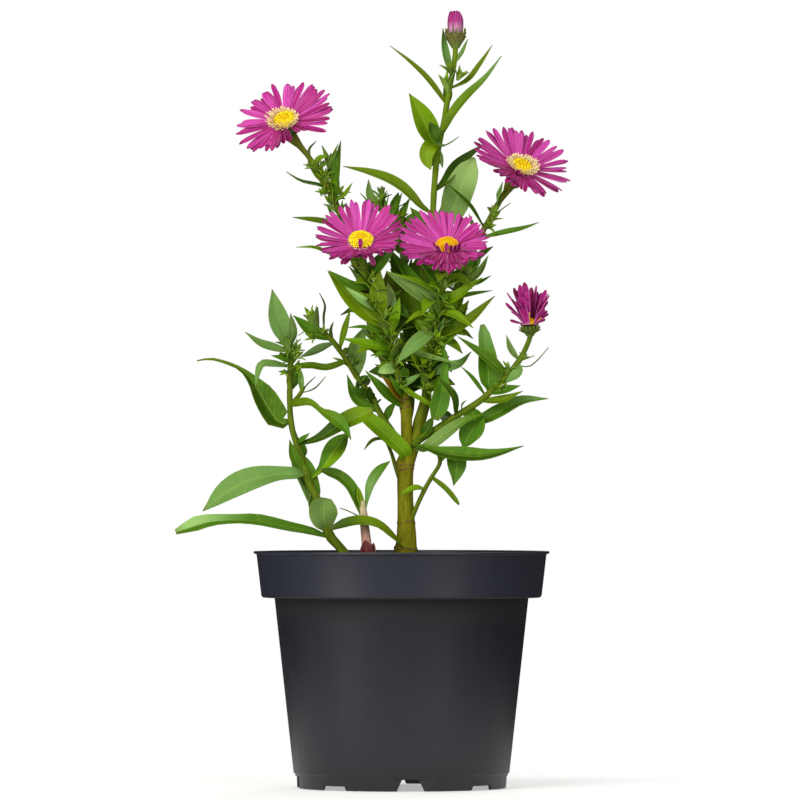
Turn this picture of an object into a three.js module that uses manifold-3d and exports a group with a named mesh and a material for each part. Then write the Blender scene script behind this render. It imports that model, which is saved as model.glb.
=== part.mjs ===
// A leafy aster in a 13 cm nursery pot: millimetres, +Z up, the viewer in front at -Y.
// Places in the plant's tables are measured from the pot's axis and from the ground.
import * as THREE from 'three';
import { mergeVertices } from 'three/addons/utils/BufferGeometryUtils.js';
import Module from 'manifold-3d';

const wasm = await Module();
wasm.setup();

// The pot's axis stands to the right of the whole plant's middle
const potAxisX = 12.4;

// Pot
const lipRadius = 65;
const lipTop = 103.8;
const lipThickness = 1;
const collarTopRadius = 63.7;
const collarLowRadius = 61.6;
const collarBottom = 83.5;
const bodyTopRadius = 55.8;
const bodyLowRadius = 47.4;
const footTop = 6.2;
const footRadius = 46.3;
const wall = 1.2;
const floorTop = 6.4;
const floorThickness = 1.4;
const potSegments = 32;
const notchTurn = 5;

// Soil
const soilTop = 94;
const gap = 0.3;

// Leaves and flowers
const bladeThickness = 0.62;
const narrow = 5.2;
const rootHalf = 1;
const stemSides = 6;
const hubSkin = 0.5;
const bractColumns = 10;

const viewer = new THREE.Vector3(0, -1, 0);
const up = new THREE.Vector3(0, 1, 0);

// Finishes
const finishes = {
  pot: new THREE.MeshStandardMaterial({ color: 0x3b3c42, roughness: 0.45, metalness: 0 }),
  soil: new THREE.MeshStandardMaterial({ color: 0x3a2a1d, roughness: 0.95, metalness: 0 }),
  stem: new THREE.MeshStandardMaterial({ color: 0x7d7f1d, roughness: 0.6, metalness: 0 }),
  leaf: new THREE.MeshStandardMaterial({ color: 0x55801c, roughness: 0.55, metalness: 0 }),
  petal: new THREE.MeshStandardMaterial({ color: 0xc22f90, roughness: 0.6, metalness: 0 }),
  disc: new THREE.MeshStandardMaterial({ color: 0xf6c915, roughness: 0.8, metalness: 0 }),
};

function point(x, y, z) {
  return new THREE.Vector3(x, y, z);
}

// A repeatable random number from 0 to 1 for a counted thing
function chance(seed, count) {
  const wave = Math.sin(seed * 12.9898 + count * 78.233) * 43758.5453;
  return wave - Math.floor(wave);
}

// Closed geometry becomes a solid whose faces point out
function solid(geometry) {
  const bare = geometry.clone();
  bare.deleteAttribute('normal');
  bare.deleteAttribute('uv');
  const merged = mergeVertices(bare, 1e-4);
  const corners = merged.attributes.position;
  const faces = [];
  let volume = 0;
  for (let i = 0; i < merged.index.count; i += 3) {
    const [a, b, c] = [0, 1, 2].map((k) => merged.index.getX(i + k));
    if (a === b || b === c || c === a) continue;
    faces.push(a, b, c);
    const [p, q, r] = [a, b, c].map((k) => new THREE.Vector3().fromBufferAttribute(corners, k));
    volume += p.dot(q.cross(r));
  }
  if (volume < 0) faces.reverse();
  const mesh = new wasm.Mesh({
    numProp: 3,
    vertProperties: corners.array,
    triVerts: new Uint32Array(faces),
  });
  return new wasm.Manifold(mesh);
}

function joined(solids) {
  return solids.reduce((whole, piece) => whole.add(piece));
}

// The largest body of a solid, without the scraps that a cut leaves
function withoutScraps(whole) {
  const bodies = whole.decompose();
  return bodies.reduce((best, body) => (body.volume() > best.volume() ? body : best));
}

function meshOf(name, whole, finish) {
  const { vertProperties, triVerts } = whole.getMesh();
  const geometry = new THREE.BufferGeometry();
  geometry.setAttribute('position', new THREE.BufferAttribute(vertProperties, 3));
  geometry.setIndex(new THREE.BufferAttribute(triVerts, 1));
  geometry.computeVertexNormals();
  const mesh = new THREE.Mesh(geometry, finishes[finish].clone());
  mesh.name = name;
  return mesh;
}

// A closed skin over rings of an even number of points, anticlockwise seen from the far end.
// The two halves of each ring take matching diagonals, so a thin blade's faces never cross.
function loft(rings, tip) {
  const sides = rings[0].length;
  const points = rings.flat();
  const last = (rings.length - 1) * sides;
  const faces = [];
  for (let row = 0; row < last; row += sides) {
    for (let i = 0; i < sides; i++) {
      const a = row + i;
      const b = row + ((i + 1) % sides);
      const c = b + sides;
      const d = a + sides;
      if (i < sides / 2) faces.push(a, b, c, a, c, d);
      else faces.push(a, b, d, b, c, d);
    }
  }
  for (let i = 0; i < sides / 2 - 1; i++) {
    const [a, b, c, d] = [i, i + 1, sides - 2 - i, sides - 1 - i];
    faces.push(a, c, b, a, d, c);
    if (!tip) faces.push(last + a, last + b, last + c, last + a, last + c, last + d);
  }
  if (tip) {
    points.push(tip);
    for (let i = 0; i < sides; i++) faces.push(last + i, last + ((i + 1) % sides), last + sides);
  }
  const geometry = new THREE.BufferGeometry().setFromPoints(points);
  geometry.setIndex(faces);
  return solid(geometry);
}

// A round stem through [x, y, z, radius] points, thicker by extra
function tube(points, sides = stemSides, extra = 0) {
  const centres = points.map(([x, y, z]) => point(x, y, z));
  const rings = centres.map((centre, k) => {
    const before = centres[Math.max(k - 1, 0)];
    const after = centres[Math.min(k + 1, centres.length - 1)];
    const along = after.clone().sub(before).normalize();
    const right = up.clone().cross(along).normalize();
    const front = along.clone().cross(right);
    const radius = points[k][3] + extra;
    return Array.from({ length: sides }, (_, i) => {
      const angle = (i / sides) * 2 * Math.PI;
      return centre.clone()
        .addScaledVector(right, radius * Math.cos(angle))
        .addScaledVector(front, radius * Math.sin(angle));
    });
  });
  return loft(rings);
}

// Shares of the full width along a blade, from its root at 0 to its tip at 1
const outlines = {
  lance: (u) => Math.max(0.42 * (1 - u), Math.sin(Math.PI * u ** 0.85)),
  spoon: (u) => Math.max(0.22, Math.sin(Math.PI * u ** 1.6)),
  oval: (u) => Math.max(0.3 * (1 - u), Math.sin(Math.PI * u ** 0.9) ** 0.7),
  broadBase: (u) => Math.max(0.5 * (1 - 2 * u), Math.sin(Math.PI * u ** 0.62)),
  strap: (u) => 0.6 + 0.4 * Math.min(1, 4 * u),
};

// A thin blade along a curve through its points, rolled towards the viewer by turn degrees
function blade(points, wide, turn = 0, outline = 'lance') {
  const curve = new THREE.CatmullRomCurve3(points, false, 'centripetal');
  const outward = points.at(-1).clone().sub(points[0]).setZ(0);
  if (outward.length() < 0.01) outward.set(0, 1, 0);
  outward.normalize();
  const level = point(-outward.y, outward.x, 0);
  const roll = THREE.MathUtils.degToRad(turn);
  const flat = wide < narrow;
  const stations = THREE.MathUtils.clamp(Math.round(curve.getLength() / 10), flat ? 2 : 3, 5);
  const blunt = outline === 'strap';
  const steps = blunt ? stations - 1 : stations;
  const rings = [];
  for (let k = 0; k < stations; k++) {
    const u = k / steps;
    const centre = curve.getPointAt(u);
    const along = curve.getTangentAt(u);
    const facing = along.clone().cross(level).multiplyScalar(Math.cos(roll));
    const toViewer = viewer.clone().addScaledVector(along, -along.dot(viewer));
    facing.addScaledVector(toViewer, Math.sin(roll)).normalize();
    const across = facing.clone().cross(along).normalize();
    const half = Math.min((wide / 2) * outlines[outline](u), k ? wide : rootHalf);
    const rise = flat ? 0 : 0.3 * half;
    const at = (side, height) => centre.clone()
      .addScaledVector(across, side)
      .addScaledVector(facing, height);
    const skin = bladeThickness / 2;
    const under = flat ? [at(-half, -skin), at(half, -skin)]
      : [at(-half, rise - skin), at(0, -skin), at(half, rise - skin)];
    const over = flat ? [at(half, skin), at(-half, skin)]
      : [at(half, rise + skin), at(0, skin), at(-half, rise + skin)];
    rings.push([...under, ...over]);
  }
  return loft(rings, blunt ? undefined : points.at(-1));
}

// The stem's centre at a height
function onStem(stem, height) {
  const next = stem.findIndex((row) => row[2] > height);
  if (next < 1) {
    const [x, y, z] = next === 0 ? stem[0] : stem.at(-1);
    return point(x, y, z);
  }
  const low = point(...stem[next - 1].slice(0, 3));
  const high = point(...stem[next].slice(0, 3));
  return low.lerp(high, (height - low.z) / (high.z - low.z));
}

// A leaf row holds its height on the stem, width, turn, outline and points out to the tip
function leafOn(stem, [height, wide, turn, outline, ...points]) {
  const path = [onStem(stem, height), ...points.map((place) => point(...place))];
  return blade(path, wide, turn, outline);
}

// A turned body on an axis through a centre, from [radius, distance along the axis] pairs
function turned(profile, segments, centre, axis, relief) {
  const outline = profile.map(([radius, along]) => new THREE.Vector2(radius, along));
  const geometry = new THREE.LatheGeometry(outline, segments);
  if (relief) {
    const places = geometry.attributes.position;
    const reach = new THREE.Vector3();
    for (let i = 0; i < places.count; i++) {
      const row = i % profile.length;
      const column = Math.floor(i / profile.length);
      reach.fromBufferAttribute(places, i).multiplyScalar(relief(row, column));
      places.setXYZ(i, reach.x, reach.y, reach.z);
    }
  }
  geometry.applyQuaternion(new THREE.Quaternion().setFromUnitVectors(up, axis));
  geometry.translate(centre.x, centre.y, centre.z);
  return solid(geometry);
}

// Three directions for a flower: out of its face, to its right and to its back
function flowerAxes(axis) {
  const out = point(...axis).normalize();
  const right = out.clone().cross(point(0, 0, 1)).normalize().negate();
  const back = out.clone().cross(right);
  return { out, right, back };
}

// A point at a turn, a distance from the axis and a distance along it
function aroundFlower(centre, axes, angle, radius, along) {
  return centre.clone()
    .addScaledVector(axes.right, radius * Math.cos(angle))
    .addScaledVector(axes.back, radius * Math.sin(angle))
    .addScaledVector(axes.out, along);
}

// The green cup under a flower, its overlapping bracts as points that stand out in turn
function involucre(centre, axes, cupRadius, depth, stemRadius) {
  const profile = [[0, -depth], [stemRadius, -depth], [cupRadius * 0.78, -depth * 0.68],
    [cupRadius, -depth * 0.4], [cupRadius * 1.12, -1.5], [0, -1.1]];
  const scale = (row, column) => {
    if (row < 2 || row > 4) return 1;
    return (row + column) % 2 ? 1.12 : 0.9;
  };
  return turned(profile, bractColumns, centre, axes.out, scale);
}

// A flower's ray florets, or a leafy bud's leaflets: one closed sheet from a flat hub, whose
// rays rise in turn by their lifts in degrees and narrow to a share of their width
function rays(flower, seed, tipShare) {
  const axes = flowerAxes(flower.axis);
  const centre = point(...flower.centre);
  const origin = point(0, 0, 0);
  const hub = flower.hub;
  const points = [hubSkin, -hubSkin].map((along) => aroundFlower(centre, axes, 0, 0, along));
  const faces = [];
  // The upper and lower faces of a patch, with matching diagonals
  const patch = (a, b, c, d) => {
    faces.push(a, b, c, a, c, d);
    faces.push(a + 1, c + 1, b + 1, a + 1, d + 1, c + 1);
  };
  // An edge of the sheet, between two of its upper points
  const edge = (a, b) => faces.push(a + 1, b + 1, b, a + 1, b, a);
  for (let k = 0; k < flower.rays; k++) {
    const root = (k / flower.rays) * 2 * Math.PI;
    const lift = flower.lifts[k % flower.lifts.length];
    const rise = THREE.MathUtils.degToRad(lift + 4 * (chance(seed, k) - 0.5));
    const sway = 0.09 * (chance(seed + 1, k) - 0.5);
    const long = (flower.radius - hub) * (0.86 + 0.14 * chance(seed + 2, k));
    const rootWidth = 0.8 * hub * Math.sin((2 * Math.PI) / flower.rays);
    const stations = [[0, rootWidth, 0, hubSkin], [0.55, flower.rayWidth, 0.85, bladeThickness / 2],
      [1, tipShare * flower.rayWidth, 1, bladeThickness / 2]];
    for (const [share, wide, bend, skin] of stations) {
      const bent = rise * bend;
      const angle = root + sway * share;
      const place = aroundFlower(centre, axes, angle, hub + share * long * Math.cos(bent),
        share * long * Math.sin(bent));
      const across = aroundFlower(origin, axes, angle + Math.PI / 2, wide / 2, 0);
      const facing = aroundFlower(origin, axes, angle, -skin * Math.sin(bent), skin * Math.cos(bent));
      for (const side of [-1, 1]) {
        for (const face of [1, -1]) {
          points.push(place.clone().addScaledVector(across, side).addScaledVector(facing, face));
        }
      }
    }
    const right = 2 + 12 * k;
    const left = right + 2;
    const nextRight = 2 + 12 * ((k + 1) % flower.rays);
    for (const j of [0, 4]) {
      patch(right + j, right + j + 4, left + j + 4, left + j);
      edge(right + j, right + j + 4);
      edge(left + j + 4, left + j);
    }
    edge(right + 8, left + 8);
    edge(left, nextRight);
    faces.push(0, right, left, 0, left, nextRight);
    faces.push(1, left + 1, right + 1, 1, nextRight + 1, left + 1);
  }
  const geometry = new THREE.BufferGeometry().setFromPoints(points);
  geometry.setIndex(faces);
  return solid(geometry);
}

// A leafy bud, whose leaflets lean out from its axis by up to spread degrees
function tuft([centre, axis, long, leaflets, spread], seed) {
  const lifts = [90 - spread * 0.45, 90 - spread];
  const bud = { centre, axis, lifts, hub: 1.4, radius: 1.4 + long, rays: leaflets, rayWidth: 1.9 };
  return rays(bud, seed, 0);
}

// The domed yellow middle, its florets as a relief of bumps
function disc(flower) {
  const axes = flowerAxes(flower.axis);
  const radius = flower.disc;
  const rows = [[1, 0], [0.94, 0.2], [0.76, 0.36], [0.52, 0.46], [0.26, 0.52]];
  const profile = [[0, 0], ...rows.map(([r, h]) => [r * radius, h * radius * 0.9]),
    [0, radius * 0.5]];
  const bump = (row, column) => {
    if (row < 2 || row > 5) return 1;
    return (row + column) % 2 ? 1.07 : 0.94;
  };
  const seat = point(...flower.centre).addScaledVector(axes.out, hubSkin + gap);
  return turned(profile, flower.discColumns, seat, axes.out, bump);
}

// Flowers, each by its disc's centre and the way it faces
const flowers = {
  bloom_1: {
    name: 'bloom_1',
    centre: [-51.6, -5, 294.1], axis: [-0.18, -0.73, 0.66],
    radius: 21, lifts: [9, -1], rays: 28, rayWidth: 2.45,
    hub: 5.6, disc: 5.2, discColumns: 14,
  },
  bloom_2: {
    name: 'bloom_2',
    centre: [-17.8, -14, 240.9], axis: [-0.02, -0.71, 0.7],
    radius: 20, lifts: [27, 15], rays: 28, rayWidth: 2.45,
    hub: 5.6, disc: 5.2, discColumns: 14,
  },
  bloom_3: {
    name: 'bloom_3',
    centre: [20, -28, 237.6], axis: [0, -0.66, 0.75],
    radius: 20.4, lifts: [20, 9], rays: 28, rayWidth: 2.45,
    hub: 5.6, disc: 5.2, discColumns: 14,
  },
  bloom_4: {
    name: 'bloom_4',
    centre: [52.9, 4, 274.3], axis: [0.34, -0.6, 0.73],
    radius: 21.4, lifts: [13, 4], rays: 28, rayWidth: 2.45,
    hub: 5.6, disc: 5.2, discColumns: 14,
  },
  bloom_5: {
    name: 'bloom_5',
    centre: [56.2, -9.6, 206], axis: [-0.05, -0.3, 0.95],
    radius: 18, lifts: [72, 45, 22], rays: 21, rayWidth: 2, hub: 3.8, disc: 3, discColumns: 10,
  },
  bud: {
    name: 'bud',
    centre: [23.8, 4, 332.6], axis: [0, -0.03, 1],
    radius: 12.6, lifts: [84, 98], rays: 12, rayWidth: 2.1, hub: 3.2,
  },
};

// Each shoot: the stem's [x, y, z, radius] points, its leaves, leafy buds, twigs and flower
const shoots = {
  main_stem: {
    sides: 8,
    stem: [[1.8, 0, 80, 3.6], [1.8, 0, 100, 4.6], [2.2, 0, 108, 4.5], [2, 0, 117, 3.8],
      [1.6, 0, 127, 3.5], [1.6, 0, 137, 3.5], [1.6, 0, 141, 3.9], [2.2, 0, 146, 3.2]],
    leaves: [
      [105, 4.4, 45, 'lance', [-5.1, -12, 111.8], [-11.6, -17, 116.6], [-18.2, -19, 118],
        [-24.8, -19.5, 116.2], [-31.4, -18, 114]],
      [145.2, 9, 60, 'broadBase', [-2.9, -4.5, 152.2], [-9.4, -5, 158.8], [-13.8, -5, 162.3],
        [-17.8, -5, 164]],
    ],
    twigs: [
      {
        sides: 8,
        stem: [[2.2, 0, 142, 2.6], [2.3, -0.5, 150, 2.6], [2.2, -0.8, 157, 2.4],
          [2, -1, 166, 2.6], [1.1, -1, 172, 2.2], [0.6, -1, 176, 1.6]],
        leaves: [
          [150.9, 6.4, 50, 'spoon', [10.3, -9, 149.5], [15.6, -12, 148.2], [23.5, -14, 147],
            [34.5, -14, 146.5], [43.3, -14, 147.8], [53.4, -14, 150]],
          [167, 3.6, 50, 'lance', [-8.1, -8, 173.7], [-15.6, -10, 183]],
          [169, 3.4, -60, 'lance', [-4, -6, 175], [-8.6, -8, 180.4]],
        ],
      },
      {
        sides: 8,
        stem: [[3, 0, 142, 2.5], [5.6, 0.6, 152, 2.3], [7.2, 1.2, 161, 2.1],
          [10, 2, 170, 2], [11.4, 2.4, 175, 1.7]],
        leaves: [
          [157.5, 5, 60, 'oval', [11.6, -4.5, 160.5], [12.5, -5.5, 165]],
        ],
      },
    ],
  },
  left_shoot: {
    lean: -0.11,
    stem: [[-17, -4, 84, 1.7], [-21, -4.5, 94, 2], [-25.7, -5, 104.3, 2], [-30.1, -5, 108.7, 2],
      [-33.6, -5, 115.8, 1.9], [-36.7, -4, 126.3, 1.8], [-41.5, -3, 136, 1.7],
      [-45, -1, 148.3, 1.5], [-48.1, 0, 157.9, 1.3], [-49, 1, 168, 1.2], [-48.6, 1, 186, 1.2],
      [-48.5, 1, 194.4, 1]],
    leaves: [
      [107.5, 6.6, 50, 'lance', [-40.2, -8, 110.9], [-49, -11, 114], [-62.2, -14, 117.1],
        [-73.1, -16, 117.9], [-86.3, -17, 116.6], [-98.6, -18, 112.2]],
      [137.7, 9.4, 65, 'lance', [-53.4, -8, 137.7], [-66.6, -12, 136.4], [-75.3, -14, 132],
        [-86.8, -15, 122.8]],
      [163.6, 12, 60, 'broadBase', [-61.3, 3, 173.3], [-70.9, 6, 183.4], [-77.5, 7, 186.5],
        [-84.1, 8, 188.2], [-89.8, 8, 187.4]],
      [184.7, 4, 50, 'lance', [-57, -3, 187], [-61.3, -5, 186.9], [-63.9, -6, 176.4]],
      [191.3, 5, 50, 'lance', [-61.3, -5, 194.4], [-68.3, -8, 199.7]],
      [192.5, 9, 85, 'lance', [-53.8, 4, 205.4], [-56.7, 6, 218.6]],
      [194, 3.8, -70, 'lance', [-47.5, -3, 200], [-48.5, -4, 208]],
      [188, 3, 60, 'lance', [-52.5, -4, 188.5], [-56.9, -6, 189.5]],
      [168, 5.5, 60, 'lance', [-43.7, -8, 169.4], [-36.7, -15, 165.4], [-29.2, -20, 162.3],
        [-22.2, -22, 152.7]],
      [150.5, 8, 55, 'lance', [-35.8, -9, 154], [-29.2, -12, 158.4], [-20.4, -14, 162.8],
        [-12.5, -14, 166.7]],
      [151, 3, 60, 'lance', [-42.5, -5, 153.5], [-40.2, -6, 155.7]],
      [135, 8, 70, 'spoon', [-36.2, -2, 140.3], [-32.3, 0, 147.3], [-25.3, 2, 155.7]],
      [113.5, 12, 80, 'oval', [-35.5, -9, 120], [-34, -10, 126.3]],
      [125, 4.4, 70, 'lance', [-43.5, -7, 130], [-46.3, -8, 135.1]],
      [137, 5, 70, 'lance', [-47, -5, 145], [-49, -5, 152.7]],
      [126.3, 4, 70, 'lance', [-36, -6, 134], [-38.9, -6, 141.7]],
      [144, 5, 0, 'lance', [-47, 9, 151], [-52, 18, 155]],
      [174, 4.6, 0, 'lance', [-47, 10, 180], [-44, 19, 183]],
      [120, 5, 20, 'lance', [-30, 6, 124], [-27, 15, 124]],
    ],
    tufts: [
      [[-48.5, 1, 193], [-0.1, -0.2, 1], 9, 6, 45],
      [[-48.5, 0, 187], [0.8, -0.4, 0.5], 7, 4, 35],
    ],
    twigs: [
      {
        stem: [[-49, 1, 168, 0.9], [-45, -1, 172, 0.9], [-42.6, -2, 176, 0.8]],
        leaves: [
          [173, 1.4, 0, 'lance', [-38, -4, 175], [-33.2, -5, 180.3]],
          [174, 1.4, 0, 'lance', [-40, -3, 178], [-37.6, -3, 180.3]],
          [174, 2.6, 60, 'lance', [-44, -3, 179], [-44.2, -3, 184]],
        ],
      },
    ],
  },
  seedling: {
    stem: [[-15.2, -12, 84, 1.7], [-15.6, -12, 104.3, 2], [-16.5, -12, 113.1, 1.9],
      [-17.4, -12, 119.7, 1.6], [-17.4, -12, 125, 1.1]],
    leaves: [
      [120, 5.6, 60, 'lance', [-20.4, -12.5, 128.5], [-23.5, -13, 135.1], [-28, -14, 138],
        [-35.8, -15, 139.5]],
      [120, 5, 70, 'lance', [-15.6, -11.5, 128.5], [-14.3, -11, 135.1], [-10.3, -11, 140.4],
        [-5.9, -10, 143.4]],
      [123, 3, 60, 'lance', [-18.6, -13.5, 128], [-18.7, -14, 132]],
      [118, 1, 0, 'lance', [-23.5, -13, 121.5], [-27, -13, 122.8]],
    ],
  },
  middle_left_shoot: {
    lean: 0.16,
    onStem: true,
    stem: [[1.5, 1, 146, 1.2], [-2.9, 4, 154.9, 1.3], [-8.1, 6, 162.3, 1.3], [-13.8, 7, 172.4, 1.2],
      [-20.4, 7, 181.6, 1.2], [-24.8, 7, 188.7, 1.1], [-31.4, 6, 197.5, 1.1], [-36, 5, 201.5, 1]],
    leaves: [
      [200, 2.4, 40, 'lance', [-33.2, 3, 207.6], [-32.7, 2, 212], [-35.8, 1, 217.2]],
      [196, 2.2, 40, 'lance', [-31, 4, 201], [-30.1, 4, 204.8]],
      [197, 6.6, 60, 'lance', [-40.2, 3, 201], [-47.7, 1, 207.6]],
      [199, 1.5, 0, 'lance', [-42.4, 2, 200.5], [-45.5, 1, 198.5]],
      [195.5, 4.5, -60, 'lance', [-38, 1, 191.8], [-44.6, -4, 189.1]],
      [187.5, 2.8, 60, 'lance', [-33, 5, 184.8], [-42.5, 6, 185.2]],
      [192.2, 3, 60, 'lance', [-25.7, 7, 198.8], [-22.6, 6, 210.6]],
      [180.3, 8.6, 80, 'lance', [-19.5, 9, 192.2], [-16.5, 10, 202.7]],
      [165, 5, 70, 'lance', [-20, 4, 171], [-24, 3, 181.5]],
      [170, 5, 60, 'oval', [-13.5, 4, 175], [-13, 3, 178.5]],
      [160.5, 4, 60, 'lance', [-5.5, 7, 165], [-2.4, 6, 169.6]],
      [176, 4.6, 0, 'lance', [-17, 15, 180], [-19, 23, 180]],
    ],
    tufts: [[[-36, 5, 200.5], [-0.15, -0.2, 1], 12, 6, 30]],
  },
  left_twig: {
    onStem: true,
    stem: [[-0.5, 0, 134, 0.9], [-2.9, 2.6, 141.7, 0.9], [-4.2, 3.4, 146.1, 0.8],
      [-6.8, 3.6, 152.7, 0.7]],
    leaves: [
      [152.5, 2.1, 40, 'lance', [-9.4, 3, 153.1], [-13, 2, 152.2], [-16.5, 1, 148.3]],
    ],
  },
  right_twig: {
    onStem: true,
    stem: [[3, -1, 114, 1], [6.4, -3, 122.8, 1], [8.6, -4, 127.6, 1], [11.2, -5, 132.9, 0.95],
      [13.8, -5.5, 137.3, 0.9], [16.9, -5.5, 143, 0.9], [15.2, -4.5, 149, 0.7]],
    leaves: [
      [131.6, 2.8, 50, 'lance', [5.9, -7, 132], [-0.7, -7.5, 128.9]],
      [136.7, 1.9, 0, 'strap', [20, -7, 132], [25.7, -8, 124.5]],
      [142, 8, 80, 'oval', [22.5, -8.5, 142.5], [24.6, -9, 139], [23.5, -9.5, 133.3]],
    ],
  },
  right_branch: {
    lean: -0.14,
    onStem: true,
    stem: [[4, 0, 150, 1.3], [13.4, -3, 155.7, 1.3], [24.8, -6, 163.6, 1.3], [34.5, -7, 169.8, 1.3],
      [43.3, -8, 178.1, 1.2], [51.2, -8, 186.9, 1.2], [55.1, -7.6, 194.4, 1.1],
      [56.5, -7.2, 198.4, 1.1]],
    leaves: [
      [155, 5, 55, 'lance', [15.5, -5, 151.6], [22.3, -9, 155.6], [34.5, -11, 163.6]],
      [167.5, 11, 75, 'oval', [31.9, -6.5, 159.2], [29.2, -7, 154], [27, -7, 149.2]],
      [169, 6.4, 55, 'lance', [38.9, -4, 165.5], [45.5, -3, 166.7], [54.3, -2, 169.4],
        [64.4, -2, 169.8]],
      [169.5, 4.6, 45, 'lance', [45.5, -11, 170.5], [53.4, -12, 174.2]],
      [173.5, 9.5, 80, 'lance', [37.6, -4, 187.8], [35.4, -3, 203.2]],
      [181, 5.4, 55, 'lance', [36.7, -12, 188.7], [24.4, -14, 197.9]],
      [185, 5.4, 60, 'oval', [50.4, -11, 180.5], [45.2, -12, 177.4]],
      [187.5, 3.2, 60, 'lance', [47.7, -9, 192.2], [45.9, -9, 198.4]],
      [187, 1.2, 0, 'lance', [54.5, -8.5, 188], [58.2, -9, 189.5]],
      [185.5, 1.5, 0, 'lance', [55.6, -8, 184.6], [58.6, -8, 186.5], [64.4, -8, 193.1]],
      [172, 2.2, 60, 'lance', [30.1, -10, 180.8], [26.1, -11, 184.7]],
      [163, 4, 60, 'lance', [22.6, -13, 172], [15.6, -15, 180.4]],
      [165, 2, 40, 'lance', [26.5, -7, 167.5], [28.3, -7, 170]],
      [162.5, 4, 60, 'oval', [21, -8.5, 162.5], [19.5, -9.5, 161]],
      [176, 4.4, 0, 'lance', [43, 1, 180], [45, 10, 182]],
      [160, 5, 0, 'lance', [20, 4, 164], [22, 13, 165]],
    ],
    tufts: [[[41.5, -8.4, 175], [0.1, -0.7, 0.4], 5, 5, 50]],
    flower: 'bloom_5',
    cup: [3.6, 7.6, 1.1],
  },
  bloom_1_stem: {
    lean: 0.07,
    onStem: true,
    stem: [[1.1, 1, 169, 1.5], [-5.1, 5, 181.2, 1.5], [-11.6, 8, 196.6, 1.5],
      [-17.4, 9, 218.6, 1.4], [-22.6, 9, 240.5, 1.4], [-27, 8, 251.5, 1.3],
      [-30.5, 7, 260.7, 1.3], [-35.8, 5, 269.9, 1.3], [-42.8, 3, 279.2, 1.3],
      [-47.2, 2, 285, 1.3], [-49.9, 1.6, 288, 1.4]],
    leaves: [
      [276, 1.5, 0, 'lance', [-40.6, 2, 280.5], [-37.6, 1, 284.4]],
      [273, 1, 0, 'lance', [-36, 1, 275], [-31.9, 0, 273]],
      [260.3, 4.4, -60, 'lance', [-26.6, 7, 271.3], [-24.8, 7, 284]],
      [258, 2.4, 50, 'lance', [-25, 6, 261], [-21.7, 5, 266]],
      [263, 1.4, 0, 'lance', [-35.8, 5, 265.6], [-44.6, 2, 267.3], [-50.7, 0, 270.8]],
      [256, 2.2, 50, 'lance', [-32, 5, 257.5], [-34, 4, 260.5]],
      [248.5, 2.4, 50, 'lance', [-38, 5, 250], [-47.7, 2, 251]],
      [226, 4.6, 0, 'lance', [-20, 17, 232], [-22, 26, 235]],
      [206, 4.6, 20, 'lance', [-20, 15, 212], [-27, 22, 216]],
    ],
    tufts: [
      [[-38, 3, 271], [-0.3, -0.5, 0.8], 6, 6, 45],
      [[-31.6, 6.4, 266], [0.05, 0, 1], 14, 5, 25],
    ],
    flower: 'bloom_1',
    cup: [4.4, 8.4, 1.4],
  },
  bloom_2_stem: {
    onStem: true,
    stem: [[0.9, -1, 172, 1.7], [-2.4, -2, 183.4, 1.8], [-4.2, -3, 192.2, 1.8],
      [-5.9, -4, 198.8, 1.8], [-9.4, -5, 206.3, 1.8], [-11.6, -5.6, 214.2, 1.8],
      [-13.8, -6.2, 220.8, 1.8], [-16, -7, 227, 1.8], [-17.6, -7.8, 234.2, 1.8]],
    leaves: [
      [230.5, 2.4, 40, 'lance', [-31.4, -10, 234.8], [-38, -12, 237.4], [-45.9, -13, 237.4]],
      [221.2, 4.2, 60, 'lance', [-22.6, -12, 223], [-31.9, -15, 228.7]],
      [201.9, 9.5, 70, 'lance', [-19.1, -9, 212], [-32.3, -11, 226.5]],
      [205, 8, 88, 'lance', [-10.3, -10, 214.2], [-9.6, -11.5, 227.5]],
      [222, 3.2, 60, 'lance', [-7.5, -14, 230.9], [-2.6, -19, 239]],
      [222.5, 4.6, 60, 'lance', [-10.8, -4, 230.9], [-5.5, -3, 236.1]],
      [197.5, 2.6, 50, 'lance', [-16, -8, 201.9], [-23.9, -10, 201.9]],
      [191.8, 4.6, 55, 'lance', [-13.8, -8, 194.4], [-26.1, -12, 197]],
      [188.7, 3.2, 50, 'lance', [-7.5, -6, 190.9], [-11.8, -8, 188.7]],
      [204, 4.4, 80, 'lance', [-4.6, -4, 214.2], [-6.4, -5, 222]],
      [199, 4.4, 80, 'lance', [-2.4, -8, 208], [-0.7, -9, 215]],
      [199.5, 4, 60, 'lance', [0, -5, 204], [5.1, -6, 211.5]],
      [186, 4.4, 80, 'oval', [-6.5, -6, 186], [-9.8, -7, 185.4]],
      [181, 1.4, 0, 'lance', [2, -7, 173.8], [12.5, -9, 168]],
      [193, 3, 40, 'lance', [6, -10, 191], [14, -12, 188.6], [24.8, -13, 186.2]],
      [210, 4.6, 0, 'lance', [-12, 4, 216], [-14, 13, 219]],
    ],
    flower: 'bloom_2',
    cup: [4.4, 8.2, 1.8],
  },
  bloom_3_stem: {
    onStem: true,
    stem: [[10, 1, 170, 1.6], [11.2, -2, 180, 1.7], [13, -4.5, 188, 1.7], [14.3, -6.5, 194.4, 1.7],
      [15.2, -9, 201, 1.7], [16, -12, 207.6, 1.7], [16.9, -15, 214.2, 1.7],
      [18.2, -18.4, 220.8, 1.7], [19.5, -20.8, 226, 1.7], [20, -22.6, 231, 1.7]],
    leaves: [
      [215.5, 3, 40, 'lance', [8.1, -19, 221.2], [-2.9, -20, 225.1]],
      [209.8, 8, 55, 'lance', [5.9, -17, 217.7], [-6.8, -17, 226.5]],
      [209, 4.4, 50, 'lance', [24.4, -19, 206.5], [31.4, -22, 201.5]],
      [211.5, 4.4, 50, 'lance', [23.5, -18, 214.2], [35.4, -20, 220.3]],
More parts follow.
